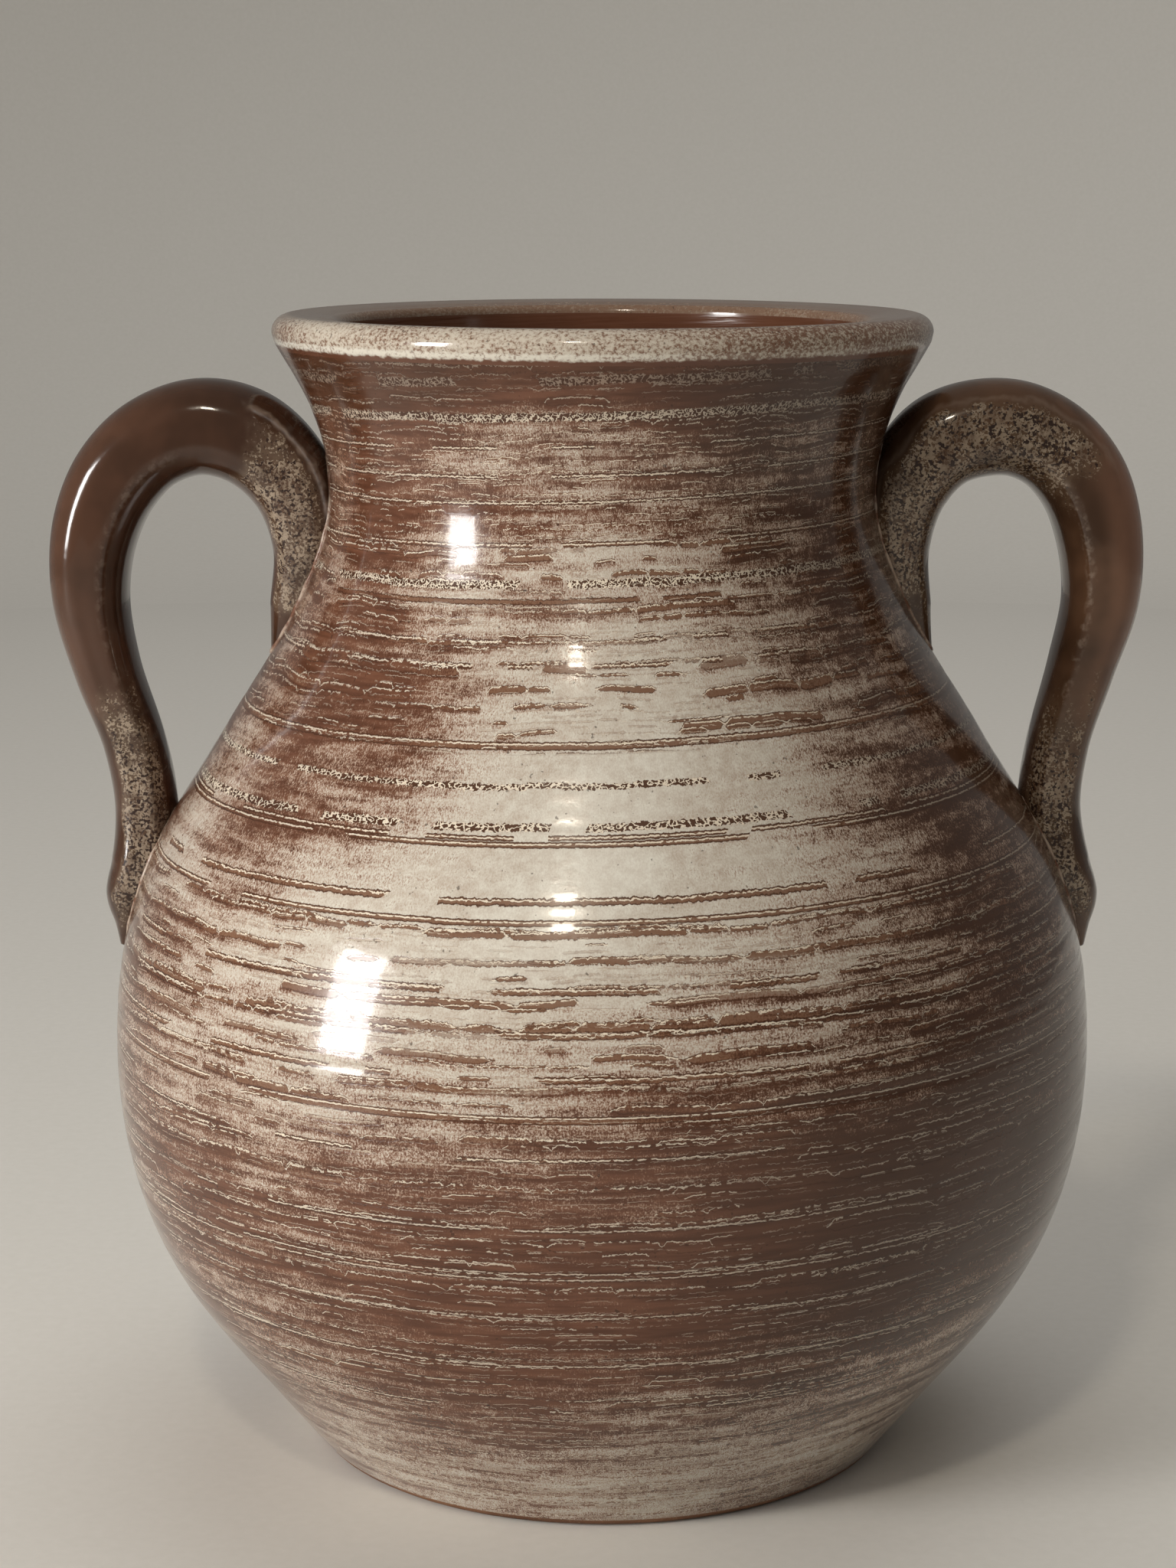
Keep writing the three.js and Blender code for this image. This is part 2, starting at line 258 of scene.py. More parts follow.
class Nodes:
    """Adds nodes to one tree, a line at a time."""

    def __init__(self, tree: bpy.types.NodeTree) -> None:
        """Keeps the tree that the nodes go into."""
        self.tree = tree

    def feed(self, socket: bpy.types.NodeSocket, value: Value) -> None:
        """Links a socket to a socket, or writes a plain value into it."""
        if isinstance(value, bpy.types.NodeSocket):
            self.tree.links.new(value, socket)
        else:
            socket.default_value = value

    def add(self, kind: str, inputs: dict | None = None, **settings) -> bpy.types.Node:
        """Adds one node.

        Args:
            kind: the node's type name.
            inputs: what feeds each input, by the input's name or number.
            **settings: the node's own settings.

        Returns:
            The new node.
        """
        node = self.tree.nodes.new(kind)
        for name, value in settings.items():
            setattr(node, name, value)
        for key, value in (inputs or {}).items():
            self.feed(node.inputs[key], value)
        return node

    def math(self, operation: str, a: Value, b: Value = 0.0, c: Value = 0.0) -> bpy.types.NodeSocket:
        """Adds a Math node and gives its result."""
        return self.add("ShaderNodeMath", {0: a, 1: b, 2: c}, operation=operation).outputs[0]

    def plus(self, a: Value, b: Value) -> bpy.types.NodeSocket:
        """Gives a + b."""
        return self.math("ADD", a, b)

    def minus(self, a: Value, b: Value) -> bpy.types.NodeSocket:
        """Gives a - b."""
        return self.math("SUBTRACT", a, b)

    def times(self, a: Value, b: Value) -> bpy.types.NodeSocket:
        """Gives a * b."""
        return self.math("MULTIPLY", a, b)

    def over(self, a: Value, b: Value) -> bpy.types.NodeSocket:
        """Gives a / b."""
        return self.math("DIVIDE", a, b)

    def times_plus(self, a: Value, b: Value, c: Value) -> bpy.types.NodeSocket:
        """Gives a * b + c."""
        return self.math("MULTIPLY_ADD", a, b, c)

    def absolute(self, a: Value) -> bpy.types.NodeSocket:
        """Gives a without its sign."""
        return self.math("ABSOLUTE", a)

    def level_length(self, x: Value, y: Value) -> bpy.types.NodeSocket:
        """Gives how long the level vector x, y is."""
        return self.math("SQRT", self.plus(self.times(x, x), self.times(y, y)))

    def total(self, *terms: Value) -> bpy.types.NodeSocket:
        """Adds up any number of values."""
        result = terms[0]
        for term in terms[1:]:
            result = self.plus(result, term)
        return result

    def largest(self, *terms: Value) -> bpy.types.NodeSocket:
        """Gives the largest of any number of values."""
        result = terms[0]
        for term in terms[1:]:
            result = self.math("MAXIMUM", result, term)
        return result

    def vector(self, x: Value, y: Value, z: Value) -> bpy.types.NodeSocket:
        """Joins three values into a vector."""
        return self.add("ShaderNodeCombineXYZ", {0: x, 1: y, 2: z}).outputs[0]

    def split(self, vector: Value) -> tuple[bpy.types.NodeSocket, ...]:
        """Splits a vector into its three values."""
        return tuple(self.add("ShaderNodeSeparateXYZ", {0: vector}).outputs)

    def noise(
        self, place: Value, scale: Scale = 1.0, detail: float = 2.0, rough: float = 0.55
    ) -> bpy.types.NodeSocket:
        """Adds noise.

        Args:
            place: the place that the noise is read at.
            scale: how many features there are to a unit, in all directions or along each axis.
            detail: how many finer layers there are.
            rough: how strong the finer layers are.

        Returns:
            The noise, from 0 to 1.
        """
        if scale != 1.0:
            scales = scale if isinstance(scale, tuple) else (scale, scale, scale)
            scaled = self.add("ShaderNodeVectorMath", {0: place, 1: scales}, operation="MULTIPLY")
            place = scaled.outputs[0]
        inputs = {"Vector": place, "Scale": 1.0, "Detail": detail, "Roughness": rough}
        return self.add("ShaderNodeTexNoise", inputs).outputs[0]

    def swing(
        self, place: Value, scale: Scale, detail: float = 2.0, rough: float = 0.55
    ) -> bpy.types.NodeSocket:
        """Adds noise that swings about zero, from -0.5 to 0.5."""
        return self.minus(self.noise(place, scale, detail, rough), 0.5)

    def chance(self, kind: str, **inputs: Value) -> tuple[bpy.types.NodeSocket, ...]:
        """Gives three values from 0 to 1 that are drawn anew for each whole number fed in."""
        drawn = self.add("ShaderNodeTexWhiteNoise", inputs, noise_dimensions=kind)
        return self.split(drawn.outputs["Color"])

    def step(
        self, value: Value, low: Value, high: Value, start: Value = 0.0, end: Value = 1.0
    ) -> bpy.types.NodeSocket:
        """Goes smoothly from start to end while the value goes from low to high."""
        inputs = {0: value, 1: low, 2: high, 3: start, 4: end}
        node = self.add("ShaderNodeMapRange", inputs, interpolation_type="SMOOTHSTEP")
        return node.outputs[0]

    def window(self, value: Value, low: float, high: float, soft: float) -> bpy.types.NodeSocket:
        """Gives one between low and high, with soft edges that lie inside them."""
        rise = self.step(value, low, low + soft)
        return self.times(rise, self.step(value, high - soft, high, 1.0, 0.0))

    def blend(self, share: Value, a: Value, b: Value) -> bpy.types.NodeSocket:
        """Blends colour a towards colour b."""
        node = self.add("ShaderNodeMix", {0: share, 6: a, 7: b}, data_type="RGBA")
        return node.outputs[2]

    def group(self, tree: bpy.types.NodeTree, **inputs: Value) -> dict[str, bpy.types.NodeSocket]:
        """Places a node group.

        Args:
            tree: the group to place.
            **inputs: what feeds each input, by its name.

        Returns:
            The group's outputs by name.
        """
        node = self.add("ShaderNodeGroup", node_tree=tree)
        for name, value in inputs.items():
            self.feed(node.inputs[name], value)
        return {socket.name: socket for socket in node.outputs}


def new_group(
    name: str, inputs: dict[str, str], outputs: dict[str, str]
) -> tuple[Nodes, dict[str, bpy.types.NodeSocket], bpy.types.Node]:
    """Starts a shader node group.

    Args:
        name: the group's name.
        inputs: each input's name and whether it is a Float, Vector or Color.
        outputs: the same for its outputs.

    Returns:
        The group's nodes, its input sockets by name, and its output node.
    """
    tree = bpy.data.node_groups.new(name, "ShaderNodeTree")
    for label, kind in inputs.items():
        tree.interface.new_socket(name=label, in_out="INPUT", socket_type=f"NodeSocket{kind}")
    for label, kind in outputs.items():
        tree.interface.new_socket(name=label, in_out="OUTPUT", socket_type=f"NodeSocket{kind}")
    nodes = Nodes(tree)
    given = {socket.name: socket for socket in nodes.add("NodeGroupInput").outputs if socket.name}
    return nodes, given, nodes.add("NodeGroupOutput")


@dataclass(frozen=True)
class RowLayer:
    """One layer of torn rows, with its lengths in millimetres.

    Pitch is the height of a row, half is about half the thickness of its bar, and cover is the share of its
    dashes that are there. Length is how long a dash is, and line is how thick the lines round it are. Seed
    tells one layer's draws from another's.
    """

    pitch: float
    half: float
    cover: float
    length: float
    line: float
    seed: float


BROAD_ROWS = RowLayer(pitch=6.2, half=0.95, cover=0.62, length=21.0, line=0.24, seed=3.0)
MIDDLE_ROWS = RowLayer(pitch=3.1, half=0.46, cover=0.44, length=10.0, line=0.20, seed=41.0)
FINE_ROWS = RowLayer(pitch=1.3, half=0.22, cover=0.56, length=8.0, line=0.16, seed=77.0)


@dataclass(frozen=True)
class Cloud:
    """A soft patch of thicker glaze, or of thinner glaze where its weight is negative.

    Angle and wide are in degrees, the angle from the front with right positive. Height and tall are in
    millimetres, and weight is how much cover the cloud adds at its middle.
    """

    angle: float
    height: float
    wide: float
    tall: float
    weight: float


CLOUDS = (
    Cloud(2.0, 188.0, 28.0, 38.0, 0.66),
    Cloud(-8.0, 156.0, 42.0, 19.0, 0.50),
    Cloud(-46.0, 130.0, 32.0, 20.0, 0.22),
    Cloud(-46.0, 214.0, 20.0, 34.0, -0.18),
    Cloud(-52.0, 176.0, 14.0, 12.0, -0.18),
    Cloud(-72.0, 164.0, 14.0, 30.0, 0.18),
    Cloud(-31.0, 230.0, 13.0, 18.0, 0.26),
    Cloud(-54.0, 256.0, 16.0, 16.0, -0.20),
    Cloud(-24.0, 178.0, 12.0, 10.0, 0.16),
    Cloud(4.0, 236.0, 26.0, 8.0, 0.18),
    Cloud(-10.0, 266.0, 20.0, 10.0, 0.36),
    Cloud(26.0, 88.0, 32.0, 20.0, -0.46),
    Cloud(20.0, 64.0, 34.0, 18.0, -0.22),
    Cloud(54.0, 158.0, 24.0, 60.0, -0.16),
    Cloud(-20.0, 14.0, 30.0, 12.0, 0.20),
    Cloud(168.0, 176.0, 40.0, 40.0, 0.42),
    Cloud(-140.0, 130.0, 34.0, 30.0, 0.34),
    Cloud(110.0, 120.0, 30.0, 34.0, -0.24),
    Cloud(-104.0, 210.0, 30.0, 30.0, -0.22),
)


class GlazeEffects:
    """The node groups that several finishes share, with their lengths in millimetres."""

    mean_radius = 110.0
    dash_taper = 1.7
    groove_dash = 13.0

    def __init__(self) -> None:
        """Builds each group once."""
        self.wheel = self.build_wheel()
        self.rows = self.build_rows()
        self.lines = self.build_lines()
        self.cloud = self.build_cloud()
        self.speckle = self.build_speckle()

    def build_wheel(self) -> bpy.types.NodeTree:
        """Makes wheel space: millimetres round the jar, the tilted height, and the angle from the front."""
        nodes, given, result = new_group(
            "wheel_space",
            {"Place": "Vector"},
            {"Round": "Vector", "Level": "Float", "Angle": "Float", "Arc": "Float"},
        )
        x, y, z = nodes.split(given["Place"])
        reach = nodes.largest(nodes.level_length(x, y), MM)
        east = nodes.over(x, reach)
        north = nodes.over(y, reach)
        height = nodes.times(z, 1 / MM)
        level = nodes.times_plus(east, -OUTLINE.wheel_tilt, height)
        around = nodes.vector(
            nodes.times(east, self.mean_radius), nodes.times(north, self.mean_radius), level
        )
        nodes.feed(result.inputs["Round"], around)
        nodes.feed(result.inputs["Level"], level)
        angle = nodes.math("ARCTAN2", x, nodes.times(y, -1.0))
        nodes.feed(result.inputs["Angle"], nodes.times(angle, 180 / math.pi))
        nodes.feed(result.inputs["Arc"], nodes.times(angle, self.mean_radius))
        return nodes.tree

    def build_rows(self) -> bpy.types.NodeTree:
        """Makes one layer of torn rows.

        A row is a flat brown bar, broken into dashes with tapered ends. It has a dark outline, a bright line
        inside its upper edge, and a mist below it, partly painted shade under the bar. Lengths are in
        millimetres.
        """
        nodes, given, result = new_group(
            "torn_rows",
            {"Round": "Vector", "Arc": "Float", "Pitch": "Float", "Half": "Float", "Cover": "Float",
             "Length": "Float", "Line": "Float", "Seed": "Float"},
            {"Bar": "Float", "Outline": "Float", "Bright": "Float", "MistAndShade": "Float"},
        )
        x, y, level = nodes.split(given["Round"])
        pitch, length, line = given["Pitch"], given["Length"], given["Line"]
        swell = nodes.noise(given["Round"], (0.04, 0.04, 0.05), 1.0)
        count = nodes.over(nodes.times_plus(swell, 3.0, level), pitch)
        keyed = nodes.plus(nodes.math("FLOOR", count), given["Seed"])
        across = nodes.minus(nodes.math("FRACT", count), 0.5)
        row_half, row_place, row_cover = nodes.chance("1D", W=keyed)

        spread = nodes.times(length, 2.0)
        along = nodes.vector(nodes.over(x, spread), nodes.over(y, spread), nodes.times(keyed, 7.31))
        uneven = nodes.noise(along, 1.0, 1.0)
        spot = nodes.total(nodes.over(given["Arc"], length), nodes.times(uneven, 3.0), row_place)
        dash = nodes.vector(nodes.math("FLOOR", spot), keyed, 0.0)
        dash_kept, dash_place, dash_half = nodes.chance("2D", Vector=dash)
        cover = nodes.times(given["Cover"], nodes.plus(row_cover, 0.5))
        kept = nodes.math("LESS_THAN", dash_kept, cover)

        jump = nodes.times(nodes.minus(dash_place, 0.5), 0.5)
        shift = nodes.times(nodes.minus(row_place, 0.5), nodes.times(pitch, 0.4))
        above = nodes.minus(nodes.times(across, pitch), nodes.plus(shift, jump))
        half = nodes.times(given["Half"], nodes.total(0.35, row_half, nodes.times(dash_half, 0.5)))
        from_end = nodes.times(nodes.math("PINGPONG", spot, 0.5), length)
        half = nodes.times(half, nodes.step(from_end, 0.0, self.dash_taper, 0.15, 1.0))
        fringe = nodes.swing(given["Round"], (1.1, 1.1, 1.3), 2.0, 0.65)
        ragged = nodes.times(fringe, nodes.times_plus(row_cover, 1.2, 0.5))
        inside = nodes.plus(nodes.minus(half, nodes.absolute(above)), ragged)
        soft = nodes.times(line, 0.5)
        bar = nodes.times(nodes.step(inside, nodes.times(soft, -1.0), soft), kept)
        outline = nodes.step(inside, 0.0, nodes.times(line, 1.3), 1.0, 0.0)
        from_top = nodes.total(half, nodes.times(above, -1.0), ragged)
        from_line = nodes.absolute(nodes.times_plus(line, -1.5, from_top))
        bright = nodes.step(from_line, nodes.times(line, 0.3), nodes.times(line, 0.8), 1.0, 0.0)
        chips = nodes.noise(given["Round"], 0.5, 1.0)
        bright = nodes.times(nodes.times(bright, kept), nodes.step(chips, 0.40, 0.46))
        # Painted shade: a soft brown fringe below each bar, partly thinner glaze and partly shade under the
        # bar.
        below = nodes.times_plus(above, -1.0, nodes.times(half, -0.5))
        mist_and_shade = nodes.times(nodes.step(below, 0.0, 0.3), nodes.step(below, 0.4, 2.2, 1.0, 0.0))
        nodes.feed(result.inputs["Bar"], bar)
        nodes.feed(result.inputs["Outline"], nodes.times(outline, bar))
        nodes.feed(result.inputs["Bright"], bright)
        nodes.feed(result.inputs["MistAndShade"], nodes.times(mist_and_shade, kept))
        return nodes.tree

    def build_lines(self) -> bpy.types.NodeTree:
        """Makes the grooves that run right round: a dark-edged brown core, and a pale line or squiggles."""
        nodes, given, result = new_group(
            "wheel_lines",
            {"Round": "Vector", "Arc": "Float"},
            {"Core": "Float", "Dark": "Float", "Pale": "Float"},
        )
        level = nodes.split(given["Round"])[2]
        fine = nodes.swing(given["Round"], (0.9, 0.9, 0.8))
        squiggle = nodes.noise(given["Round"], (0.7, 0.7, 1.1), 1.0)
        contour = nodes.absolute(nodes.minus(squiggle, 0.5))
        worm = nodes.step(contour, 0.035, 0.075, 1.0, 0.0)
        uneven = nodes.noise(given["Round"], (0.03, 0.03, 0.05), 1.0)
        spot = nodes.times_plus(uneven, 4.0, nodes.over(given["Arc"], self.groove_dash))
        dash = nodes.math("FLOOR", spot)
        cores: Value = 0.0
        darks: Value = 0.0
        pales: Value = 0.0
        for line in WHEEL_LINES:
            dash_kept, dash_place, _ = nodes.chance("2D", Vector=nodes.vector(dash, line.height, 0.0))
            kept = nodes.math("LESS_THAN", dash_kept, line.kept_share)
            moved = nodes.times_plus(dash_place, 0.5 * line.beads, level)
            wavy = nodes.times_plus(fine, 0.5 + 1.0 * line.beads, moved)
            away = nodes.minus(wavy, line.height)
            half = 0.5 * line.width + 0.15
            off = nodes.absolute(away)
            core = nodes.times(nodes.step(off, half, half + 0.2, 1.0, 0.0), kept)
            cores = nodes.largest(core, cores)
            if line.squiggled:
                worms = nodes.times(core, worm)
                darks = nodes.largest(nodes.minus(core, worms), darks)
                pales = nodes.largest(worms, pales)
                continue
            edge = nodes.step(off, half - 0.3, half - 0.05)
            darks = nodes.largest(nodes.times(edge, core), darks)
            if line.pale is not PaleEdge.NONE:
                beside = nodes.minus(away, line.pale.value * (half - 0.42))
                pale = nodes.step(nodes.absolute(beside), 0.08, 0.22, 1.0, 0.0)
                pales = nodes.largest(nodes.times(pale, kept), pales)
        nodes.feed(result.inputs["Core"], cores)
        nodes.feed(result.inputs["Dark"], darks)
        nodes.feed(result.inputs["Pale"], nodes.times(pales, nodes.step(squiggle, 0.34, 0.42)))
        return nodes.tree

    def build_cloud(self) -> bpy.types.NodeTree:
        """Makes the cover of the sprayed pale glaze: soft clouds placed by angle and height, and drift."""
        nodes, given, result = new_group(
            "glaze_cloud", {"Round": "Vector", "Angle": "Float", "Level": "Float"}, {"Cover": "Float"}
        )
        drift = nodes.noise(given["Round"], (0.011, 0.011, 0.016), 3.0, 0.55)
        cover = nodes.step(drift, 0.25, 0.75, 0.16, 0.50)
        for cloud in CLOUDS:
            away = nodes.math("WRAP", nodes.minus(given["Angle"], cloud.angle), 180.0, -180.0)
            turned = nodes.over(away, cloud.wide)
            risen = nodes.over(nodes.minus(given["Level"], cloud.height), cloud.tall)
            square = nodes.plus(nodes.times(turned, turned), nodes.times(risen, risen))
            bell = nodes.math("EXPONENT", nodes.times(square, -1.0))
            cover = nodes.times_plus(bell, cloud.weight, cover)
        bare_top = nodes.step(given["Level"], 258.0, 276.0, 0.0, -0.45)
        dusty_foot = nodes.step(given["Level"], 6.0, 44.0, 0.26, 0.0)
        nodes.feed(result.inputs["Cover"], nodes.total(cover, bare_top, dusty_foot))
        return nodes.tree

    def build_speckle(self) -> bpy.types.NodeTree:
        """Makes glaze speckle: pale flecks and dark flecks with their own cover."""
        nodes, given, result = new_group(
            "speckle",
            {"Place": "Vector", "Size": "Float", "Cover": "Float"},
            {"Pale": "Float", "Dark": "Float"},
        )
        scaled = nodes.add(
            "ShaderNodeVectorMath",
            {0: given["Place"], "Scale": nodes.over(1 / MM, given["Size"])},
            operation="SCALE",
        ).outputs[0]
        fleck = nodes.noise(scaled, 1.0, 2.0, 0.6)
        clump = nodes.swing(scaled, 0.21)
        high = nodes.times_plus(clump, 0.5, fleck)
        edge = nodes.times_plus(given["Cover"], -0.24, 0.66)
        nodes.feed(result.inputs["Pale"], nodes.step(high, edge, nodes.plus(edge, 0.05)))
        dots = nodes.noise(scaled, 0.8, 1.0)
        low = nodes.times_plus(given["Cover"], 0.21, 0.22)
        nodes.feed(result.inputs["Dark"], nodes.step(dots, low, nodes.plus(low, 0.04), 1.0, 0.0))
        return nodes.tree


# Finishes


@dataclass(frozen=True)
class Gloss:
    """How a glaze takes the light."""

    roughness: float
    coat: float
    coat_roughness: float
    relief: float


class Finish:
    """A material with one Principled shader and its nodes."""

    def __init__(self, name: str, gloss: Gloss) -> None:
        """Starts the material and sets the numbers that stay the same all over it."""
        self.gloss = gloss
        self.material = bpy.data.materials.new(name)
        self.material.use_nodes = True
        tree = self.material.node_tree
        tree.nodes.clear()
        self.nodes = Nodes(tree)
        self.shader = self.nodes.add("ShaderNodeBsdfPrincipled")
        self.shader.inputs["Roughness"].default_value = gloss.roughness
        self.shader.inputs["Coat Weight"].default_value = gloss.coat
        self.shader.inputs["Coat Roughness"].default_value = gloss.coat_roughness
        self.shader.inputs["Specular IOR Level"].default_value = 0.3
        output = self.nodes.add("ShaderNodeOutputMaterial")
        self.nodes.feed(output.inputs["Surface"], self.shader.outputs[0])

    def place(self) -> bpy.types.NodeSocket:
        """Gives the place on the object, in metres."""
        return self.nodes.add("ShaderNodeTexCoord").outputs["Object"]

    def colour(self, value: Value) -> None:
        """Feeds the base colour."""
        self.nodes.feed(self.shader.inputs["Base Color"], value)

    def rough(self, value: Value) -> None:
        """Feeds the roughness."""
        self.nodes.feed(self.shader.inputs["Roughness"], value)

    def relief(self, height: Value) -> None:
        """Feeds a height in millimetres to the normal."""
        bump = self.nodes.add(
            "ShaderNodeBump", {"Height": height, "Distance": MM, "Strength": self.gloss.relief}
        )
        self.nodes.feed(self.shader.inputs["Normal"], bump.outputs[0])


@dataclass(frozen=True)
class JarColours:
    """Colours of the glazes and of the bare clay."""

    brown: tuple[float, ...] = srgb(104, 68, 50)
    dark: tuple[float, ...] = srgb(80, 49, 34)
    # Dark brown glaze, also laid over the right side as painted shade.
    burnt_brown_and_shade: tuple[float, ...] = srgb(62, 37, 20)
    edge: tuple[float, ...] = srgb(60, 36, 23)
    rust: tuple[float, ...] = srgb(108, 70, 45)
    warm: tuple[float, ...] = srgb(148, 117, 98)
    pale: tuple[float, ...] = srgb(206, 201, 188)
    shade: tuple[float, ...] = srgb(168, 150, 134)
    line: tuple[float, ...] = srgb(220, 208, 188)
    speck: tuple[float, ...] = srgb(42, 24, 16)
    thickest: tuple[float, ...] = srgb(222, 218, 206)
    roll_dust: tuple[float, ...] = srgb(140, 121, 105)
    roll_pale: tuple[float, ...] = srgb(186, 176, 161)
    roll_top: tuple[float, ...] = srgb(118, 94, 76)
    # Colour of the painted sheen on the handles' outer faces.
    painted_sheen: tuple[float, ...] = srgb(138, 100, 80)
    fleck: tuple[float, ...] = srgb(168, 152, 132)
    clay: tuple[float, ...] = srgb(136, 98, 72)
    stained: tuple[float, ...] = srgb(104, 70, 50)
    turning: tuple[float, ...] = srgb(84, 54, 38)
    grog: tuple[float, ...] = srgb(170, 140, 112)


@dataclass(frozen=True)
class WallBands:
    """Where the torn rows change on their way up the wall, as lower and upper heights in millimetres."""

    foot: tuple[float, float] = (30.0, 64.0)
    calm: tuple[float, float] = (159.0, 195.0)
    collar: tuple[float, float] = (238.0, 270.0)
    plain_top: tuple[float, float] = (270.0, 278.0)


def wall_glaze(effects: GlazeEffects, colours: JarColours) -> bpy.types.Material:
    """Makes the outside glaze: pale spray over brown, torn along the wheel's rows.

    Args:
        effects: the shared node groups.
        colours: the colours of the jar.

    Returns:
        The material.
    """
    finish = Finish("wall_glaze", Gloss(0.2, 0.35, 0.06, 0.8))
    nodes = finish.nodes
    bands = WallBands()
    place = finish.place()
    wheel = nodes.group(effects.wheel, Place=place)
    around = wheel["Round"]
    level = wheel["Level"]
    cloud = nodes.group(effects.cloud, Round=around, Angle=wheel["Angle"], Level=level)["Cover"]

    broad, middle, fine = (
        nodes.group(
            effects.rows, Round=around, Arc=wheel["Arc"], Pitch=rows.pitch, Half=rows.half,
            Cover=rows.cover, Length=rows.length, Line=rows.line, Seed=rows.seed,
        )
        for rows in (BROAD_ROWS, MIDDLE_ROWS, FINE_ROWS)
    )
    lines = nodes.group(effects.lines, Round=around, Arc=wheel["Arc"])

    busy = nodes.noise(around, (0.012, 0.012, 0.11), 2.0)
    not_calm = nodes.minus(1.0, nodes.window(level, *bands.calm, 1.0))
    busy_rows = nodes.times(nodes.step(busy, 0.28, 0.5, 0.5, 1.0), not_calm)
    collar = nodes.window(level, *bands.collar, 6.0)
    foot = nodes.step(level, *bands.foot, 0.9, 0.0)
    fine_rows = nodes.largest(nodes.times(busy_rows, 0.4), collar, foot)
    coarse_rows = nodes.times(busy_rows, nodes.step(fine_rows, 0.4, 1.0, 1.0, 0.3))

    streak = nodes.noise(around, (0.03, 0.03, 0.3), 3.0, 0.6)
    mottle = nodes.noise(around, (0.3, 0.3, 0.45), 3.0, 0.6)
    grain = nodes.noise(around, (2.6, 2.6, 2.1), 3.0, 0.7)
    hairs = nodes.noise(around, (2.8, 2.8, 0.5), 2.0, 0.65)
    # The fringe below the bars, partly painted shade, thins the pale spray.
    mist_and_shade = nodes.largest(broad["MistAndShade"], nodes.times(middle["MistAndShade"], 0.7))
    mist_and_shade = nodes.times(mist_and_shade, busy_rows)
    spray = nodes.total(
        cloud,
        nodes.step(streak, 0.25, 0.75, -0.17, 0.17),
        nodes.step(mottle, 0.25, 0.75, -0.10, 0.10),
        nodes.times(mist_and_shade, -0.22),
        nodes.step(grain, 0.3, 0.7, -0.20, 0.20),
        nodes.step(hairs, 0.25, 0.75, -0.07, 0.07),
    )
    covered = nodes.step(spray, 0.06, 0.96)
    tone = nodes.noise(around, (0.06, 0.06, 0.6), 3.0)
    brown = nodes.blend(nodes.step(tone, 0.3, 0.7), colours.dark, colours.brown)
    # Painted shade: the brown darkens towards the right side, away from the light, as well as where the pale
    # spray is thinnest.
    shaded_right_side = nodes.window(wheel["Angle"], -5.0, 170.0, 45.0)
    thick = nodes.largest(nodes.times(shaded_right_side, 0.8), nodes.step(cloud, -0.3, 0.1, 0.8, 0.0))
    brown = nodes.blend(thick, brown, colours.burnt_brown_and_shade)
    thin = nodes.blend(nodes.step(covered, 0.05, 0.6), brown, colours.warm)
    clouded = nodes.total(nodes.step(mottle, 0.3, 0.7, 0.0, 0.45), nodes.step(grain, 0.35, 0.65, 0.4, 0.0))
    clouded = nodes.times(clouded, nodes.step(cloud, 0.95, 1.2, 1.0, 0.2))
    pale = nodes.blend(nodes.step(cloud, 0.95, 1.2), colours.pale, colours.thickest)
    pale = nodes.blend(clouded, pale, colours.shade)
    ground = nodes.blend(nodes.step(covered, 0.25, 0.95), thin, pale)
    bare = nodes.blend(nodes.step(covered, 0.1, 0.7), brown, colours.rust)

    bars = nodes.largest(
        nodes.times(broad["Bar"], coarse_rows),
        nodes.times(middle["Bar"], coarse_rows),
        nodes.times(fine["Bar"], fine_rows),
        lines["Core"],
    )
    outline = nodes.times(nodes.largest(broad["Outline"], middle["Outline"]), coarse_rows)
    outline = nodes.largest(outline, lines["Dark"])
    bright = nodes.largest(
        nodes.times(broad["Bright"], coarse_rows),
        nodes.times(middle["Bright"], coarse_rows),
        nodes.times(fine["Bright"], fine_rows),
        lines["Pale"],
    )
    bright = nodes.times(bright, nodes.step(level, *bands.plain_top, 1.0, 0.4))
    mixed = nodes.blend(nodes.times(bars, 0.9), ground, bare)
    mixed = nodes.blend(nodes.times(outline, 0.75), mixed, colours.edge)
    # Painted shade: the bright lines are dimmed towards the right side too.
    shaded = nodes.times_plus(nodes.window(wheel["Angle"], 10.0, 170.0, 45.0), -0.5, 1.0)
    glint = nodes.times(nodes.step(cloud, 0.0, 0.6, 0.55, 0.95), shaded)
    mixed = nodes.blend(nodes.times(bright, glint), mixed, colours.line)
    specks = nodes.group(effects.speckle, Place=place, Size=1.1, Cover=0.05)
    mixed = nodes.blend(nodes.times(specks["Dark"], 0.6), mixed, colours.speck)
    finish.colour(mixed)
    sunk = nodes.times(nodes.largest(broad["Bar"], middle["Bar"]), coarse_rows)
    finish.relief(nodes.times_plus(mottle, 0.06, nodes.times(sunk, -0.06)))
    finish.rough(nodes.times_plus(bars, 0.08, 0.16))
    return finish.material


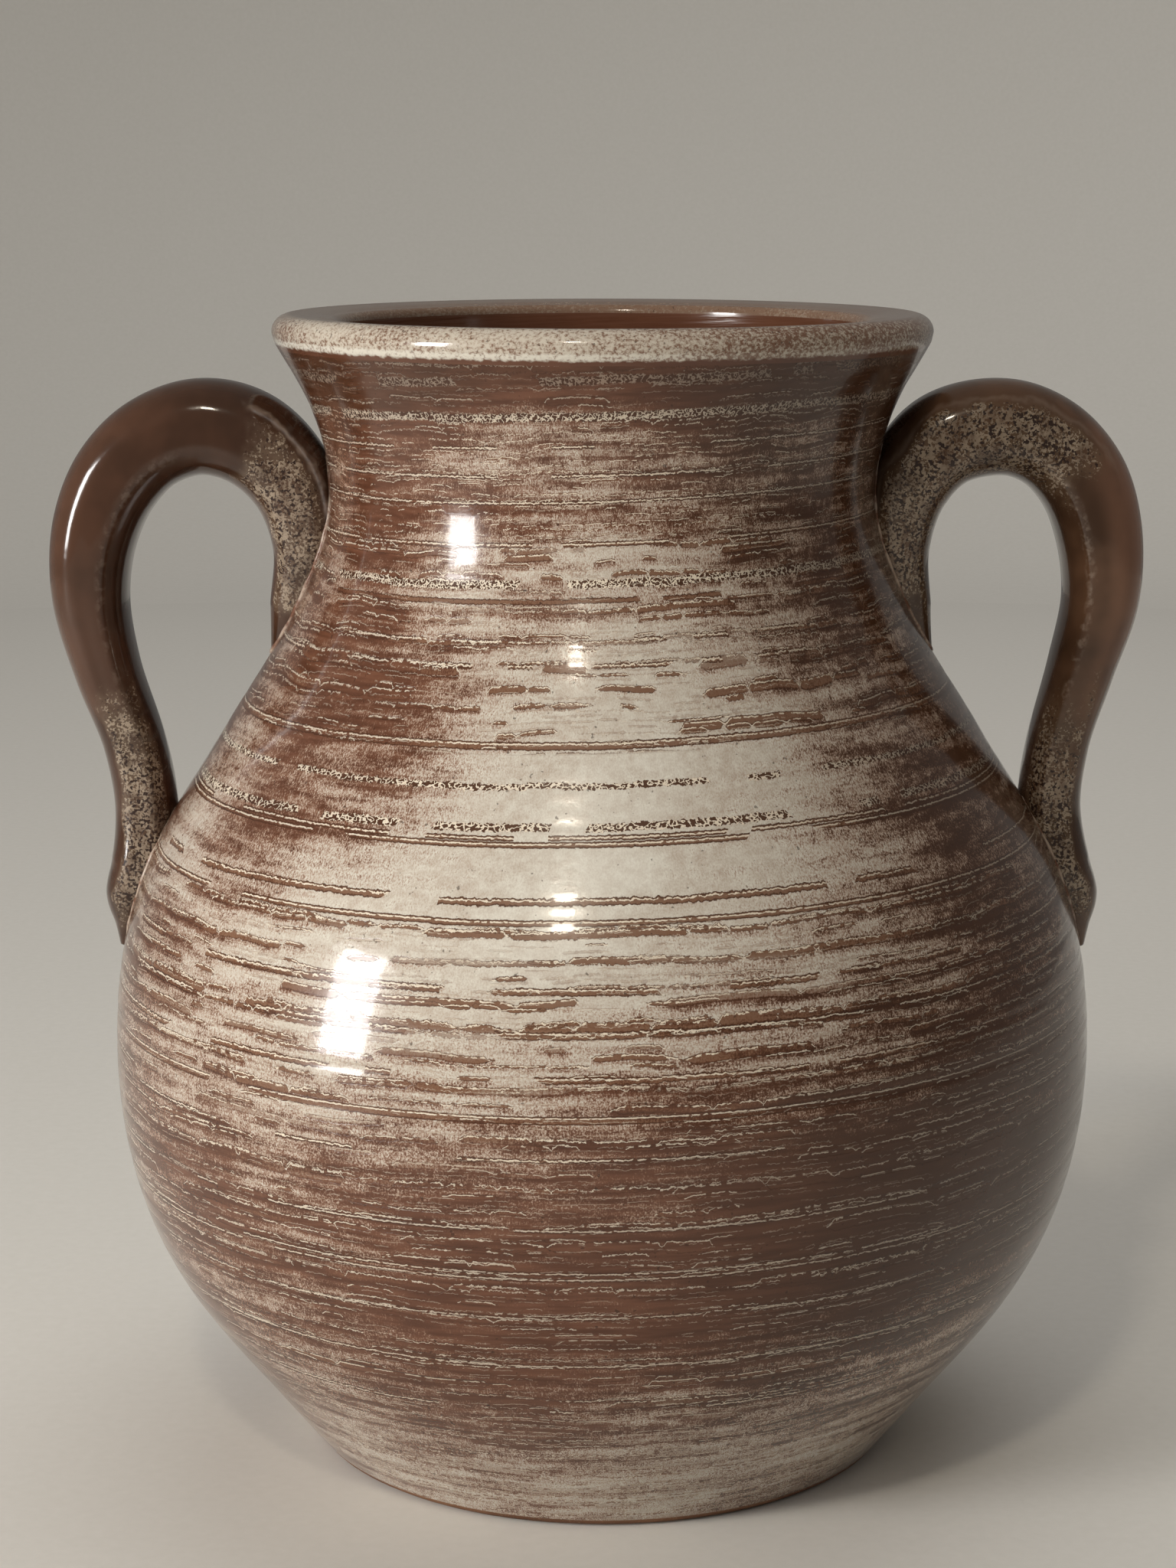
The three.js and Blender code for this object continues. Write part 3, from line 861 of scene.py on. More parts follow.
def rim_glaze(effects: GlazeEffects, colours: JarColours) -> bpy.types.Material:
    """Makes the glaze of the rolled rim: a pale lip over plain brown, with brown speckle on the roll."""
    finish = Finish("rim_glaze", Gloss(0.16, 0.4, 0.05, 0.5))
    nodes = finish.nodes
    place = finish.place()
    wheel = nodes.group(effects.wheel, Place=place)
    around = wheel["Round"]
    x, y, z = nodes.split(place)
    height = nodes.times(z, 1 / MM)
    reach = nodes.times(nodes.level_length(x, y), 1 / MM)
    fringe = nodes.swing(around, (0.4, 0.4, 0.6))
    worn = nodes.times_plus(fringe, 1.4, height)
    patch = nodes.noise(around, (0.02, 0.02, 0.1), 3.0, 0.6)
    front_left = nodes.window(wheel["Angle"], -120.0, 34.0, 40.0)
    dusted = nodes.plus(nodes.step(patch, 0.3, 0.7, -0.3, 0.3), nodes.times(front_left, 0.5))
    tone = nodes.noise(around, (0.05, 0.05, 0.3), 2.0)
    brown = nodes.blend(tone, colours.dark, colours.brown)
    grain = nodes.noise(place, (1100.0, 1100.0, 1400.0), 3.0, 0.7)
    grain = nodes.plus(grain, nodes.times(dusted, 0.22))
    roll = nodes.blend(nodes.step(grain, 0.46, 0.74), colours.roll_dust, colours.roll_pale)
    roll = nodes.blend(nodes.step(grain, 0.44, 0.60, 0.75, 0.0), roll, colours.brown)
    on_top = nodes.step(nodes.times_plus(fringe, 2.0, reach), 77.0, 79.6, 1.0, 0.0)
    roll = nodes.blend(nodes.times(on_top, 0.7), roll, colours.roll_top)
    flecks = nodes.group(effects.speckle, Place=place, Size=0.6, Cover=0.3)
    roll = nodes.blend(nodes.times(flecks["Dark"], 0.6), roll, colours.speck)
    lip_line = 282.2
    band = nodes.window(worn, lip_line, lip_line + 2.2, 0.8)
    band = nodes.times(band, nodes.step(front_left, 0.0, 1.0, 0.3, 0.8))
    band = nodes.times(band, nodes.step(grain, 0.40, 0.62, 0.25, 1.0))
    lip = nodes.step(worn, lip_line, lip_line + 0.8)
    mixed = nodes.blend(lip, brown, roll)
    finish.colour(nodes.blend(band, mixed, colours.pale))
    finish.relief(nodes.times(nodes.noise(around, (0.05, 0.05, 1.6)), 0.08))
    return finish.material


def inside_glaze(effects: GlazeEffects, colours: JarColours) -> bpy.types.Material:
    """Makes the inside glaze: glossy brown, with a pale ring below the rim and soft throwing rings."""
    finish = Finish("inside_glaze", Gloss(0.2, 0.35, 0.06, 0.5))
    nodes = finish.nodes
    place = finish.place()
    wheel = nodes.group(effects.wheel, Place=place)
    tone = nodes.noise(wheel["Round"], (0.04, 0.04, 0.25), 3.0)
    brown = nodes.blend(tone, colours.dark, colours.brown)
    ring = nodes.window(wheel["Level"], 272.0, 281.0, 3.0)
    dust = nodes.noise(place, (700.0, 700.0, 900.0), 3.0, 0.7)
    ring = nodes.times(ring, nodes.step(dust, 0.42, 0.6))
    finish.colour(nodes.blend(nodes.times(ring, 0.8), brown, colours.shade))
    finish.relief(nodes.times(nodes.noise(wheel["Round"], (0.03, 0.03, 0.9)), 0.3))
    return finish.material


@dataclass(frozen=True)
class HandlePatches:
    """Where a handle is mottled, by its share of the way from the neck to the belly.

    Each patch is its start, its end and how dense the flecks are. Border is how strong the pale line round
    the upper patch is, and arris how strong the pale dotted line near the inner edge is, a painted highlight
    along the arris. Painted sheen is how much lighter the outer face is painted half way along, a painted
    highlight. Deep and light are the two browns of the handle, and dust is the ground of its mottled
    patches.
    """

    upper: tuple[float, float, float]
    lower: tuple[float, float, float]
    painted_sheen: float
    border: float
    arris: float
    deep: tuple[float, ...]
    light: tuple[float, ...]
    dust: tuple[float, ...]


def handle_glaze(
    name: str, effects: GlazeEffects, colours: JarColours, patches: HandlePatches
) -> bpy.types.Material:
    """Makes a handle's glaze: glossy brown, a pale painted arris highlight, and mottled patches near its
    roots.

    Args:
        name: the material's name.
        effects: the shared node groups.
        colours: the colours of the jar.
        patches: where this handle is mottled.

    Returns:
        The material.
    """
    finish = Finish(name, Gloss(0.18, 0.4, 0.05, 0.5))
    nodes = finish.nodes
    place = finish.place()
    strap = nodes.add("ShaderNodeUVMap", uv_map="strap").outputs[0]
    around, along, _ = nodes.split(strap)
    drift = nodes.swing(place, (90.0, 90.0, 60.0), 3.0, 0.6)
    moved = nodes.times_plus(drift, 0.16, along)
    tone = nodes.noise(place, 45.0, 3.0, 0.6)
    brown = nodes.blend(nodes.step(tone, 0.35, 0.7), patches.deep, patches.light)
    # Painted sheen: a lighter band half way along the outer face, where the glaze catches the light.
    outer = nodes.window(around, 0.22, 0.78, 0.2)
    middle = nodes.window(moved, 0.34, 0.72, 0.14)
    painted_sheen = nodes.times(nodes.times(outer, middle), patches.painted_sheen)
    brown = nodes.blend(painted_sheen, brown, colours.painted_sheen)

    folded = nodes.math("MINIMUM", around, nodes.minus(1.0, around))
    wander = nodes.times_plus(drift, 0.12, folded)
    front = nodes.window(wander, 0.08, 0.36, 0.05)
    upper = nodes.times(nodes.window(moved, patches.upper[0], patches.upper[1], 0.09), front)
    lower = nodes.times(nodes.window(moved, patches.lower[0], patches.lower[1], 0.12), front)
    dense = nodes.largest(nodes.times(upper, patches.upper[2]), nodes.times(lower, patches.lower[2]))
    flecks = nodes.group(effects.speckle, Place=place, Size=0.7, Cover=dense)
    spread = nodes.step(dense, 0.02, 0.45)
    clumps = nodes.noise(place, (260.0, 260.0, 200.0), 3.0, 0.6)
    dusty = nodes.times(spread, nodes.step(clumps, 0.3, 0.62, 0.2, 0.85))
    pale_fleck = nodes.times(flecks["Pale"], dusty)
    mixed = nodes.blend(nodes.times(dusty, 0.45), brown, patches.dust)
    mixed = nodes.blend(nodes.times(pale_fleck, 0.75), mixed, colours.fleck)
    rimmed = nodes.times(nodes.window(moved, 0.05, patches.upper[1], 0.05), patches.border)
    rimmed = nodes.times(rimmed, nodes.window(wander, 0.34, 0.38, 0.03))
    rimmed = nodes.times(rimmed, nodes.step(clumps, 0.3, 0.55, 0.4, 1.0))
    mixed = nodes.blend(rimmed, mixed, colours.shade)
    mixed = nodes.blend(nodes.times(flecks["Dark"], spread), mixed, colours.speck)

    # Painted highlight: a pale dotted line along the arris near the inner edge.
    beside = nodes.absolute(nodes.minus(folded, ARRIS_AROUND))
    dots = nodes.noise(place, 420.0, 2.0, 0.6)
    arris = nodes.times(nodes.step(beside, 0.004, 0.03, 1.0, 0.0), nodes.step(dots, 0.46, 0.68))
    arris = nodes.times(arris, nodes.window(along, 0.3, 0.86, 0.12))
    finish.colour(nodes.blend(nodes.times(arris, patches.arris), mixed, colours.shade))
    skin = nodes.noise(place, 160.0, 2.0)
    pits = nodes.times(nodes.plus(flecks["Dark"], flecks["Pale"]), spread)
    finish.relief(nodes.times_plus(pits, -0.04, nodes.times(skin, 0.2)))
    finish.rough(nodes.total(0.15, nodes.times(pits, 0.16), nodes.times(painted_sheen, 0.12)))
    return finish.material


def pale_slip_and_highlight(effects: GlazeEffects, colours: JarColours) -> bpy.types.Material:
    """Makes the pale, slightly broken line of slip round each root, its paleness partly a painted highlight.
    """
    finish = Finish("pale_slip_and_highlight", Gloss(0.3, 0.3, 0.08, 0.4))
    nodes = finish.nodes
    place = finish.place()
    patchy = nodes.noise(place, 260.0, 3.0, 0.65)
    # Painted highlight: the pale patches stand partly for light caught along the joint.
    finish.colour(nodes.blend(nodes.step(patchy, 0.4, 0.62), colours.brown, colours.shade))
    flecks = nodes.group(effects.speckle, Place=place, Size=0.7, Cover=0.3)
    finish.relief(nodes.times(flecks["Pale"], 0.05))
    return finish.material


def bare_clay(colours: JarColours) -> bpy.types.Material:
    """Makes the unglazed clay of the foot: matte, with grog and the marks of turning."""
    finish = Finish("bare_clay", Gloss(0.85, 0.0, 0.3, 0.8))
    nodes = finish.nodes
    place = finish.place()
    x, y, z = nodes.split(place)
    reach = nodes.level_length(x, y)
    turned = nodes.noise(nodes.vector(nodes.times(reach, 1100.0), nodes.times(z, 900.0), 0.0))
    grog = nodes.noise(place, 1400.0, 3.0, 0.7)
    stain = nodes.noise(place, 30.0, 3.0)
    clay = nodes.blend(nodes.step(stain, 0.3, 0.7), colours.stained, colours.clay)
    clay = nodes.blend(nodes.step(turned, 0.45, 0.7, 0.0, 0.4), clay, colours.turning)
    finish.colour(nodes.blend(nodes.step(grog, 0.58, 0.7, 0.0, 0.6), clay, colours.grog))
    finish.relief(nodes.plus(nodes.times(turned, 0.15), nodes.times(grog, 0.12)))
    return finish.material


# Thrown pieces


def link_mesh(name: str, bm: bmesh.types.BMesh) -> bpy.types.Object:
    """Makes an object at the origin from a bmesh, in the scene's own collection."""
    mesh = bpy.data.meshes.new(name)
    bm.to_mesh(mesh)
    bm.free()
    piece = bpy.data.objects.new(name, mesh)
    bpy.context.scene.collection.objects.link(piece)
    return piece


def finish_piece(piece: bpy.types.Object, nodes: tuple[str, ...]) -> None:
    """Says what a piece stands for and what it rides on, and hides the frame's parts that it replaces."""
    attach(piece, "root")
    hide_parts(*nodes)
    triangles = sum(len(face.vertices) - 2 for face in piece.data.polygons)
    log.info("%s: %d triangles, replaces %s", piece.name, triangles, ", ".join(nodes))


def spun(name: str, outline: list[tuple[float, float]], turns: int, closed: bool) -> bpy.types.Object:
    """Turns an outline about the jar's axis.

    Args:
        name: the piece's name.
        outline: points of radius and height in millimetres.
        turns: how many steps make a full turn.
        closed: whether the last point joins the first.

    Returns:
        The turned piece, with sharp edges where its outline has corners.
    """
    bm = bmesh.new()
    last = bm.verts.new((outline[0][0] * MM, 0, outline[0][1] * MM))
    first = last
    for radius, height in outline[1:]:
        last = bmesh.ops.extrude_vert_indiv(bm, verts=[last])["verts"][0]
        last.co = Vector((radius, 0, height)) * MM
    if closed:
        bm.edges.new((last, first))
    bmesh.ops.spin(
        bm, geom=bm.verts[:] + bm.edges[:], cent=(0, 0, 0), axis=(0, 0, 1), dvec=(0, 0, 0),
        angle=FULL_TURN, steps=turns, use_merge=True, use_duplicate=False,
    )
    bmesh.ops.remove_doubles(bm, verts=bm.verts[:], dist=0.001 * MM)
    bmesh.ops.recalc_face_normals(bm, faces=bm.faces[:])
    for face in bm.faces:
        face.smooth = True
    corner = math.radians(40)
    for edge in bm.edges:
        edge.smooth = edge.calc_face_angle(0.0) < corner
    return link_mesh(name, bm)


def face_places(piece: bpy.types.Object) -> tuple[np.ndarray, np.ndarray]:
    """Gives the radius and the height of each face's middle, in millimetres."""
    centres = np.empty(len(piece.data.polygons) * 3)
    piece.data.polygons.foreach_get("center", centres)
    centres = centres.reshape(-1, 3) / MM
    return np.hypot(centres[:, 0], centres[:, 1]), centres[:, 2]


def sort_faces(piece: bpy.types.Object, materials: list[bpy.types.Material], chosen: np.ndarray) -> None:
    """Gives a piece its materials and says which of them each face takes."""
    for material in materials:
        piece.data.materials.append(material)
    piece.data.polygons.foreach_set("material_index", chosen.astype(np.int32))


def put_relief(piece: bpy.types.Object) -> None:
    """Moves a turned piece's outer and inner surfaces by the marks of the wheel."""
    mesh = piece.data
    points = np.empty(len(mesh.vertices) * 3, dtype=np.float32)
    mesh.vertices.foreach_get("co", points)
    points = points.reshape(-1, 3) / MM
    radius = np.hypot(points[:, 0], points[:, 1])
    angle = np.arctan2(points[:, 1], points[:, 0])
    height = points[:, 2]
    outside = radius > OUTLINE.radius(height) - OUTLINE.wall / 2
    fade = np.clip((height - OUTLINE.marks_low) / OUTLINE.marks_fade, 0, 1)
    fade = fade * np.clip((OUTLINE.marks_high - height) / OUTLINE.marks_fade, 0, 1)
    move = np.where(outside, OUTLINE.outside_relief(height, angle), OUTLINE.inside_relief(height, angle))
    factor = 1 + move * fade / np.maximum(radius, 1)
    factor[radius < OUTLINE.plain_middle] = 1
    points[:, 0] *= factor
    points[:, 1] *= factor
    mesh.vertices.foreach_set("co", (points * MM).astype(np.float32).ravel())
    mesh.update()


@dataclass
class WallRing:
    """A thrown section of the wall, between two joints."""

    name: str
    node: str
    low: float
    high: float
    row: float = 0.75
    inner_row: float = 2.4
    turns: int = 320

    def outline(self) -> list[tuple[float, float]]:
        """Lists the section's outline: up the outside and down the inside."""
        rows = max(2, round((self.high - self.low) / self.row))
        inner_rows = max(2, round((self.high - self.low) / self.inner_row))
        up = np.linspace(self.low, self.high, rows + 1)
        down = np.linspace(self.high, self.low, inner_rows + 1)
        outside = list(zip(OUTLINE.radius(up), up))
        return outside + list(zip(OUTLINE.inner_radius(down), down))

    def build(self, outside: bpy.types.Material, inside: bpy.types.Material) -> bpy.types.Object:
        """Turns the section, marks it with the wheel and gives it its glazes.

        Args:
            outside: the glaze of the outer surface.
            inside: the glaze of the hollow.

        Returns:
            The finished piece.
        """
        piece = spun(self.name, self.outline(), self.turns, True)
        put_relief(piece)
        reach, height = face_places(piece)
        sort_faces(piece, [outside, inside], reach < OUTLINE.radius(height) - OUTLINE.wall / 2)
        finish_piece(piece, (self.node,))
        return piece


@dataclass
class Foot:
    """The floor of the jar and the bare foot ring that it stands on."""

    joint: float = BASE_JOINT
    floor: float = 9.0
    ring_width: float = 11.0
    recess: float = 2.5
    chamfer: float = 1.2
    glaze_line: float = 2.2
    turns: int = 320

    def outline(self) -> list[tuple[float, float]]:
        """Lists the outline: under the jar from its middle, round the foot, and over the floor."""
        foot = float(OUTLINE.radius(np.array(0.0)))
        ring = foot - self.ring_width
        rise = np.linspace(self.chamfer, self.joint, 22)
        inner = float(OUTLINE.inner_radius(np.array(self.joint)))
        top = min(self.recess + self.floor, self.joint - 0.4)
        under = [(reach, self.recess) for reach in (0.0, 20.0, ring - 8, ring - self.recess)]
        sole = [
            (ring - 0.8, 0.5), (ring, 0.0), (ring + 5, 0.0), (foot - self.chamfer, 0.0), (foot - 0.4, 0.35),
        ]
        side = list(zip(OUTLINE.radius(rise), rise))
        hollow = [(inner, self.joint), (inner - self.recess, top), (40.0, top - 0.3), (0.0, top - 0.3)]
        return under + sole + side + hollow

    def build(
        self, clay: bpy.types.Material, outside: bpy.types.Material, inside: bpy.types.Material
    ) -> bpy.types.Object:
        """Turns the foot and gives it bare clay below the glaze line.

        Args:
            clay: the bare clay.
            outside: the glaze of the outer surface.
            inside: the glaze of the floor.

        Returns:
            The finished piece.
        """
        piece = spun("foot", self.outline(), self.turns, False)
        put_relief(piece)
        reach, height = face_places(piece)
        on_side = (reach > OUTLINE.radius(height) - 1) & (height > self.glaze_line)
        on_floor = (height > self.joint / 2) & ~on_side
        sort_faces(piece, [clay, outside, inside], on_side + 2 * on_floor)
        finish_piece(piece, ("base",))
        return piece


@dataclass
class RolledRim:
    """The thick rolled lip: round outside, a top that slopes inwards, and a round inner edge."""

    joint: float = RIM_JOINT
    lip_height: float = 0.977 * OUTLINE.jar_height
    bulge_height: float = 0.985 * OUTLINE.jar_height
    radius: float = 0.66 * OUTLINE.belly_radius
    crest_radius: float = 0.623 * OUTLINE.belly_radius
    inner_radius: float = OUTLINE.mouth_share * OUTLINE.belly_radius
    slope: float = 1.1
    inner_round: float = 2.2
    crown: float = 0.35
    flare_top: float = 281.2
    turns: int = 320

    def outline(self) -> list[tuple[float, float]]:
        """Lists the rim's outline: up the flare, round the roll, over the top and down the inside."""
        up = np.linspace(self.joint, self.lip_height, 24)
        outside = list(zip(OUTLINE.radius(up), up))
        tall = OUTLINE.jar_height - self.bulge_height
        wide = self.radius - self.crest_radius
        roll = [
            (self.crest_radius + wide * math.cos(a), self.bulge_height + tall * math.sin(a))
            for a in np.linspace(0, math.pi / 2, 14)
        ]
        inner_top = OUTLINE.jar_height - self.slope
        start = (self.crest_radius, OUTLINE.jar_height)
        end = (self.inner_radius + self.inner_round, inner_top)
        top = [
            (
                start[0] + t * (end[0] - start[0]),
                start[1] + t * (end[1] - start[1]) + self.crown * math.sin(math.pi * t) * t,
            )
            for t in np.linspace(0, 1, 10)[1:-1]
        ]
        turn_in = [
            (
                end[0] + self.inner_round * math.cos(a),
                inner_top - self.inner_round + self.inner_round * math.sin(a),
            )
            for a in np.linspace(math.pi / 2, math.pi, 9)
        ]
        down = np.linspace(inner_top - self.inner_round, self.joint, 12)[1:]
        return outside + roll + top + turn_in + list(zip(OUTLINE.inner_radius(down), down))

    def build(
        self, lip: bpy.types.Material, outside: bpy.types.Material, inside: bpy.types.Material
    ) -> bpy.types.Object:
        """Turns the rim, and gives its flare the wall's glaze and its hollow the inside glaze.

        Args:
            lip: the glaze of the rolled lip.
            outside: the glaze of the flare below it.
            inside: the glaze of the hollow.

        Returns:
            The finished piece.
        """
        piece = spun("rolled_rim", self.outline(), self.turns, True)
        put_relief(piece)
        deepest = OUTLINE.jar_height - self.slope - self.inner_round
        reach, height = face_places(piece)
        in_hollow = (reach < self.inner_radius + 0.5) & (height < deepest)
        on_flare = (height < self.flare_top) & ~in_hollow
        sort_faces(piece, [lip, inside, outside], in_hollow + 2 * on_flare)
        finish_piece(piece, ("rim",))
        return piece


# Handles


def spline(points: np.ndarray, where: np.ndarray) -> np.ndarray:
    """Runs a centripetal curve through points, as the part's source does.

    Args:
        points: the points, one a row.
        where: shares of the way from the first point to the last.

    Returns:
        One point of the curve for each share.
    """
    padded = np.vstack([2 * points[0] - points[1], points, 2 * points[-1] - points[-2]])
    spot = np.clip(where, 0, 1) * (len(points) - 1)
    i = np.minimum(spot.astype(int), len(points) - 2)
    t = (spot - i)[:, None]
    p0, p1, p2, p3 = (padded[i + k] for k in range(4))
    d0, d1, d2 = (
        np.sqrt(np.linalg.norm(b - a, axis=1))[:, None] for a, b in ((p0, p1), (p1, p2), (p2, p3))
    )
    d1 = np.where(d1 < SAME_POINT, 1.0, d1)
    d0 = np.where(d0 < SAME_POINT, d1, d0)
    d2 = np.where(d2 < SAME_POINT, d1, d2)
    start = ((p1 - p0) / d0 - (p2 - p0) / (d0 + d1) + (p2 - p1) / d1) * d1
    end = ((p2 - p1) / d1 - (p3 - p1) / (d1 + d2) + (p3 - p2) / d2) * d1
    square = 3 * (p2 - p1) - 2 * start - end
    cube = 2 * (p1 - p2) + start + end
    return p1 + start * t + square * t**2 + cube * t**3


@dataclass(frozen=True)
class Station:
    """One station of the handles, in hundredths of the jar's height, as in the part's source."""

    left: float
    right: float
    height: float
    thick: float
    wide: float


STATIONS = (
    Station(-1.5, -1.5, 68.7, 1.0, 1.7),
    Station(-0.2, -0.5, 74.3, 4.9, 5.2),
    Station(1.1, 0.9, 80.1, 6.3, 7.9),
    Station(3.3, 2.9, 85.5, 7.6, 9.3),
    Station(6.2, 5.4, 89.1, 8.3, 9.7),
    Station(10.2, 10.3, 90.2, 8.3, 9.7),
    Station(14.9, 14.6, 88.8, 8.1, 9.7),
    Station(18.6, 18.0, 85.6, 7.9, 9.7),
    Station(20.0, 19.0, 81.1, 7.4, 9.7),
    Station(18.4, 17.2, 75.5, 6.6, 9.3),
    Station(13.6, 12.1, 69.1, 5.7, 8.6),
    Station(7.3, 6.2, 62.5, 5.3, 7.9),
    Station(2.9, 2.1, 57.0, 5.4, 7.9),
    Station(0.6, 0.3, 51.9, 5.5, 8.6),
    Station(0.7, 0.6, 48.9, 4.4, 7.3),
    Station(0.2, 0.2, 46.3, 2.6, 4.5),
    Station(0.1, 0.1, 44.2, 1.1, 2.1),
)


@dataclass
class Handle:
    """A pulled strap handle and the two beads of slip that lute it to the jar."""

    side: Side
    squareness: float = 2.4
    rings: int = 260
    sides: int = 64
    path_step: float = 0.0005
    arris_height: float = 0.32
    arris_width: float = 0.018
    hollow_depth: float = 0.4
    hollow_away: float = 0.075
    hollow_width: float = 0.04
    worn_from: float = 0.12
    worn_to: float = 0.9
    worn_fade: float = 0.12
    search_rows: int = 500
    search_sides: int = 241
    least_run: int = 10
    root_depth: float = 2.2
    bead_radius: float = 0.6
    bead_step: float = 1.0
    bead_sides: int = 8
    tag: str = field(init=False)

    def __post_init__(self) -> None:
        """Names the side."""
        self.tag = self.side.name.lower()

    def skin(self, where: np.ndarray, around: np.ndarray) -> np.ndarray:
        """Works out points on the handle's skin before it is turned to its side.

        Args:
            where: shares of the way from the neck to the belly.
            around: angles round the section, from the side that faces the finger gap.

        Returns:
            Points in millimetres, one row of them for each share.
        """
        unit = OUTLINE.jar_height / 100
        height = np.array([s.height for s in STATIONS]) * unit
        reach = np.array([getattr(s, self.tag) for s in STATIONS]) * unit
        zero = np.zeros_like(height)
        route = np.stack([OUTLINE.radius(height) + reach, zero, height], axis=1)
        sizes = np.stack([[s.thick for s in STATIONS], [s.wide for s in STATIONS], zero], axis=1) * unit / 2
        centre = spline(route, where)
        size = spline(sizes, where)
        ahead = spline(route, where + self.path_step) - spline(route, where - self.path_step)
        ahead /= np.linalg.norm(ahead, axis=1)[:, None]
        gapward = np.stack([ahead[:, 2], np.zeros(len(where)), -ahead[:, 0]], axis=1)

        c, s = np.cos(around), np.sin(around)
        bulge = (np.abs(c) ** self.squareness + np.abs(s) ** self.squareness) ** (-1 / self.squareness)
        folded = np.abs((around + math.pi) % FULL_TURN - math.pi) / FULL_TURN
        arris = self.arris_height * np.exp(-(((folded - ARRIS_AROUND) / self.arris_width) ** 2))
        beside = (folded - ARRIS_AROUND - self.hollow_away) / self.hollow_width
        hollow = self.hollow_depth * np.exp(-(beside**2))
        fade = np.clip((where - self.worn_from) / self.worn_fade, 0, 1)
        fade = fade * np.clip((self.worn_to - where) / self.worn_fade, 0, 1)
        extra = fade[:, None] * (arris - hollow)[None, :]
        thick = size[:, 0:1] + extra
        wide = size[:, 1:2] + extra
        points = centre[:, None, :] + gapward[:, None, :] * (thick * (bulge * c)[None, :])[:, :, None]
        points[:, :, 1] = wide * (bulge * s)[None, :]
        return points

    def turned(self, points: np.ndarray) -> np.ndarray:
        """Turns points about the jar's axis to this handle's side."""
        return points * np.array([self.side.value, self.side.value, 1])

    def wrapped(self, name: str, points: np.ndarray, closed: bool) -> bpy.types.Object:
        """Wraps a grid into a tube through rows of points.

        Args:
            name: the piece's name.
            points: rows of points in metres, each row a closed ring.
            closed: whether the last row joins the first.

        Returns:
            The tube, with a UV map of how far round and how far along each corner is.
        """
        rows, around = points.shape[:2]
        long = rows if closed else rows - 1
        bm = bmesh.new()
        uv = bm.loops.layers.uv.new("strap")
        bmesh.ops.create_grid(bm, x_segments=long, y_segments=around, size=0.5)
        for face in bm.faces:
            face.smooth = True
            for loop in face.loops:
                loop[uv].uv = (loop.vert.co.y + 0.5, loop.vert.co.x + 0.5)
        for vert in bm.verts:
            row = round((vert.co.x + 0.5) * long) % rows
            spot = round((vert.co.y + 0.5) * around) % around
            vert.co = points[row, spot]
        bmesh.ops.remove_doubles(bm, verts=bm.verts[:], dist=0.0001 * MM)
        if not closed:
            open_edges = [edge for edge in bm.edges if edge.is_boundary]
            bmesh.ops.holes_fill(bm, edges=open_edges, sides=0)
        bmesh.ops.recalc_face_normals(bm, faces=bm.faces[:])
        return link_mesh(name, bm)

    def build_strap(self, glaze: bpy.types.Material) -> bpy.types.Object:
        """Builds the handle itself, with its roots sunk a little into the wall.

        Args:
            glaze: the handle's glaze.

        Returns:
            The finished piece.
        """
        where = np.linspace(0, 1, self.rings + 1)
        around = np.arange(self.sides) * FULL_TURN / self.sides
        points = self.skin(where, around)
        reach = np.hypot(points[..., 0], points[..., 1])
        deepest = OUTLINE.radius(points[..., 2]) - self.root_depth
        factor = np.maximum(1, deepest / np.maximum(reach, 1))
        points[..., 0] *= factor
        points[..., 1] *= factor
        piece = self.wrapped(f"strap_{self.tag}", self.turned(points) * MM, False)
        piece.data.materials.append(glaze)
        finish_piece(piece, (f"handle_{self.tag}",))
        return piece

    def contact_paths(self) -> list[np.ndarray]:
        """Finds where the handle's skin meets the wall.

        Returns:
            A closed path in millimetres for the upper root and one for the lower root.
        """
        where = np.linspace(0, 1, self.search_rows)
        around = np.linspace(0, math.pi, self.search_sides)
        skin = self.skin(where, around)
        off = np.hypot(skin[..., 0], skin[..., 1]) - OUTLINE.radius(skin[..., 2])
        crossed = off[:, :-1] * off[:, 1:] < 0
        touching = np.flatnonzero(crossed.any(axis=1))
        runs = np.split(touching, np.flatnonzero(np.diff(touching) > 1) + 1)
        runs = [run for run in runs if len(run) > self.least_run]
        paths = []
        for run in (runs[0], runs[-1]):
            k = crossed[run].argmax(axis=1)
            a, b = off[run, k], off[run, k + 1]
            share = (a / (a - b))[:, None]
            half = skin[run, k] * (1 - share) + skin[run, k + 1] * share
            other = half[::-1] * np.array([1, -1, 1])
            paths.append(self.even(np.vstack([half, other])))
        return paths

    def even(self, path: np.ndarray) -> np.ndarray:
        """Spaces a closed path's points evenly and takes its kinks out."""
        ring = np.vstack([path, path[:1]])
        gone = np.concatenate([[0], np.cumsum(np.linalg.norm(np.diff(ring, axis=0), axis=1))])
        stops = np.arange(0, gone[-1] - self.bead_step / 2, self.bead_step)
        spaced = np.stack([np.interp(stops, gone, ring[:, k]) for k in range(3)], axis=1)
        for _ in range(2):
            spaced = (np.roll(spaced, 1, axis=0) + 2 * spaced + np.roll(spaced, -1, axis=0)) / 4
        return spaced

    def build_bead(self, place: str, path: np.ndarray, glaze: bpy.types.Material) -> bpy.types.Object:
        """Lays a bead of slip along a closed path on the wall.

        Args:
            place: which root the bead is at.
            path: the path in millimetres.
            glaze: the bead's glaze.

        Returns:
            The finished piece.
        """
        ahead = np.roll(path, -1, axis=0) - np.roll(path, 1, axis=0)
        ahead /= np.linalg.norm(ahead, axis=1)[:, None]
        reach = np.hypot(path[:, 0], path[:, 1])
        normal = np.stack([path[:, 0] / reach, path[:, 1] / reach, -OUTLINE.slope(path[:, 2])], axis=1)
        normal -= ahead * (normal * ahead).sum(axis=1)[:, None]
        normal /= np.linalg.norm(normal, axis=1)[:, None]
        across = np.cross(ahead, normal)
        around = np.arange(self.bead_sides) * FULL_TURN / self.bead_sides
        count = np.arange(len(path))
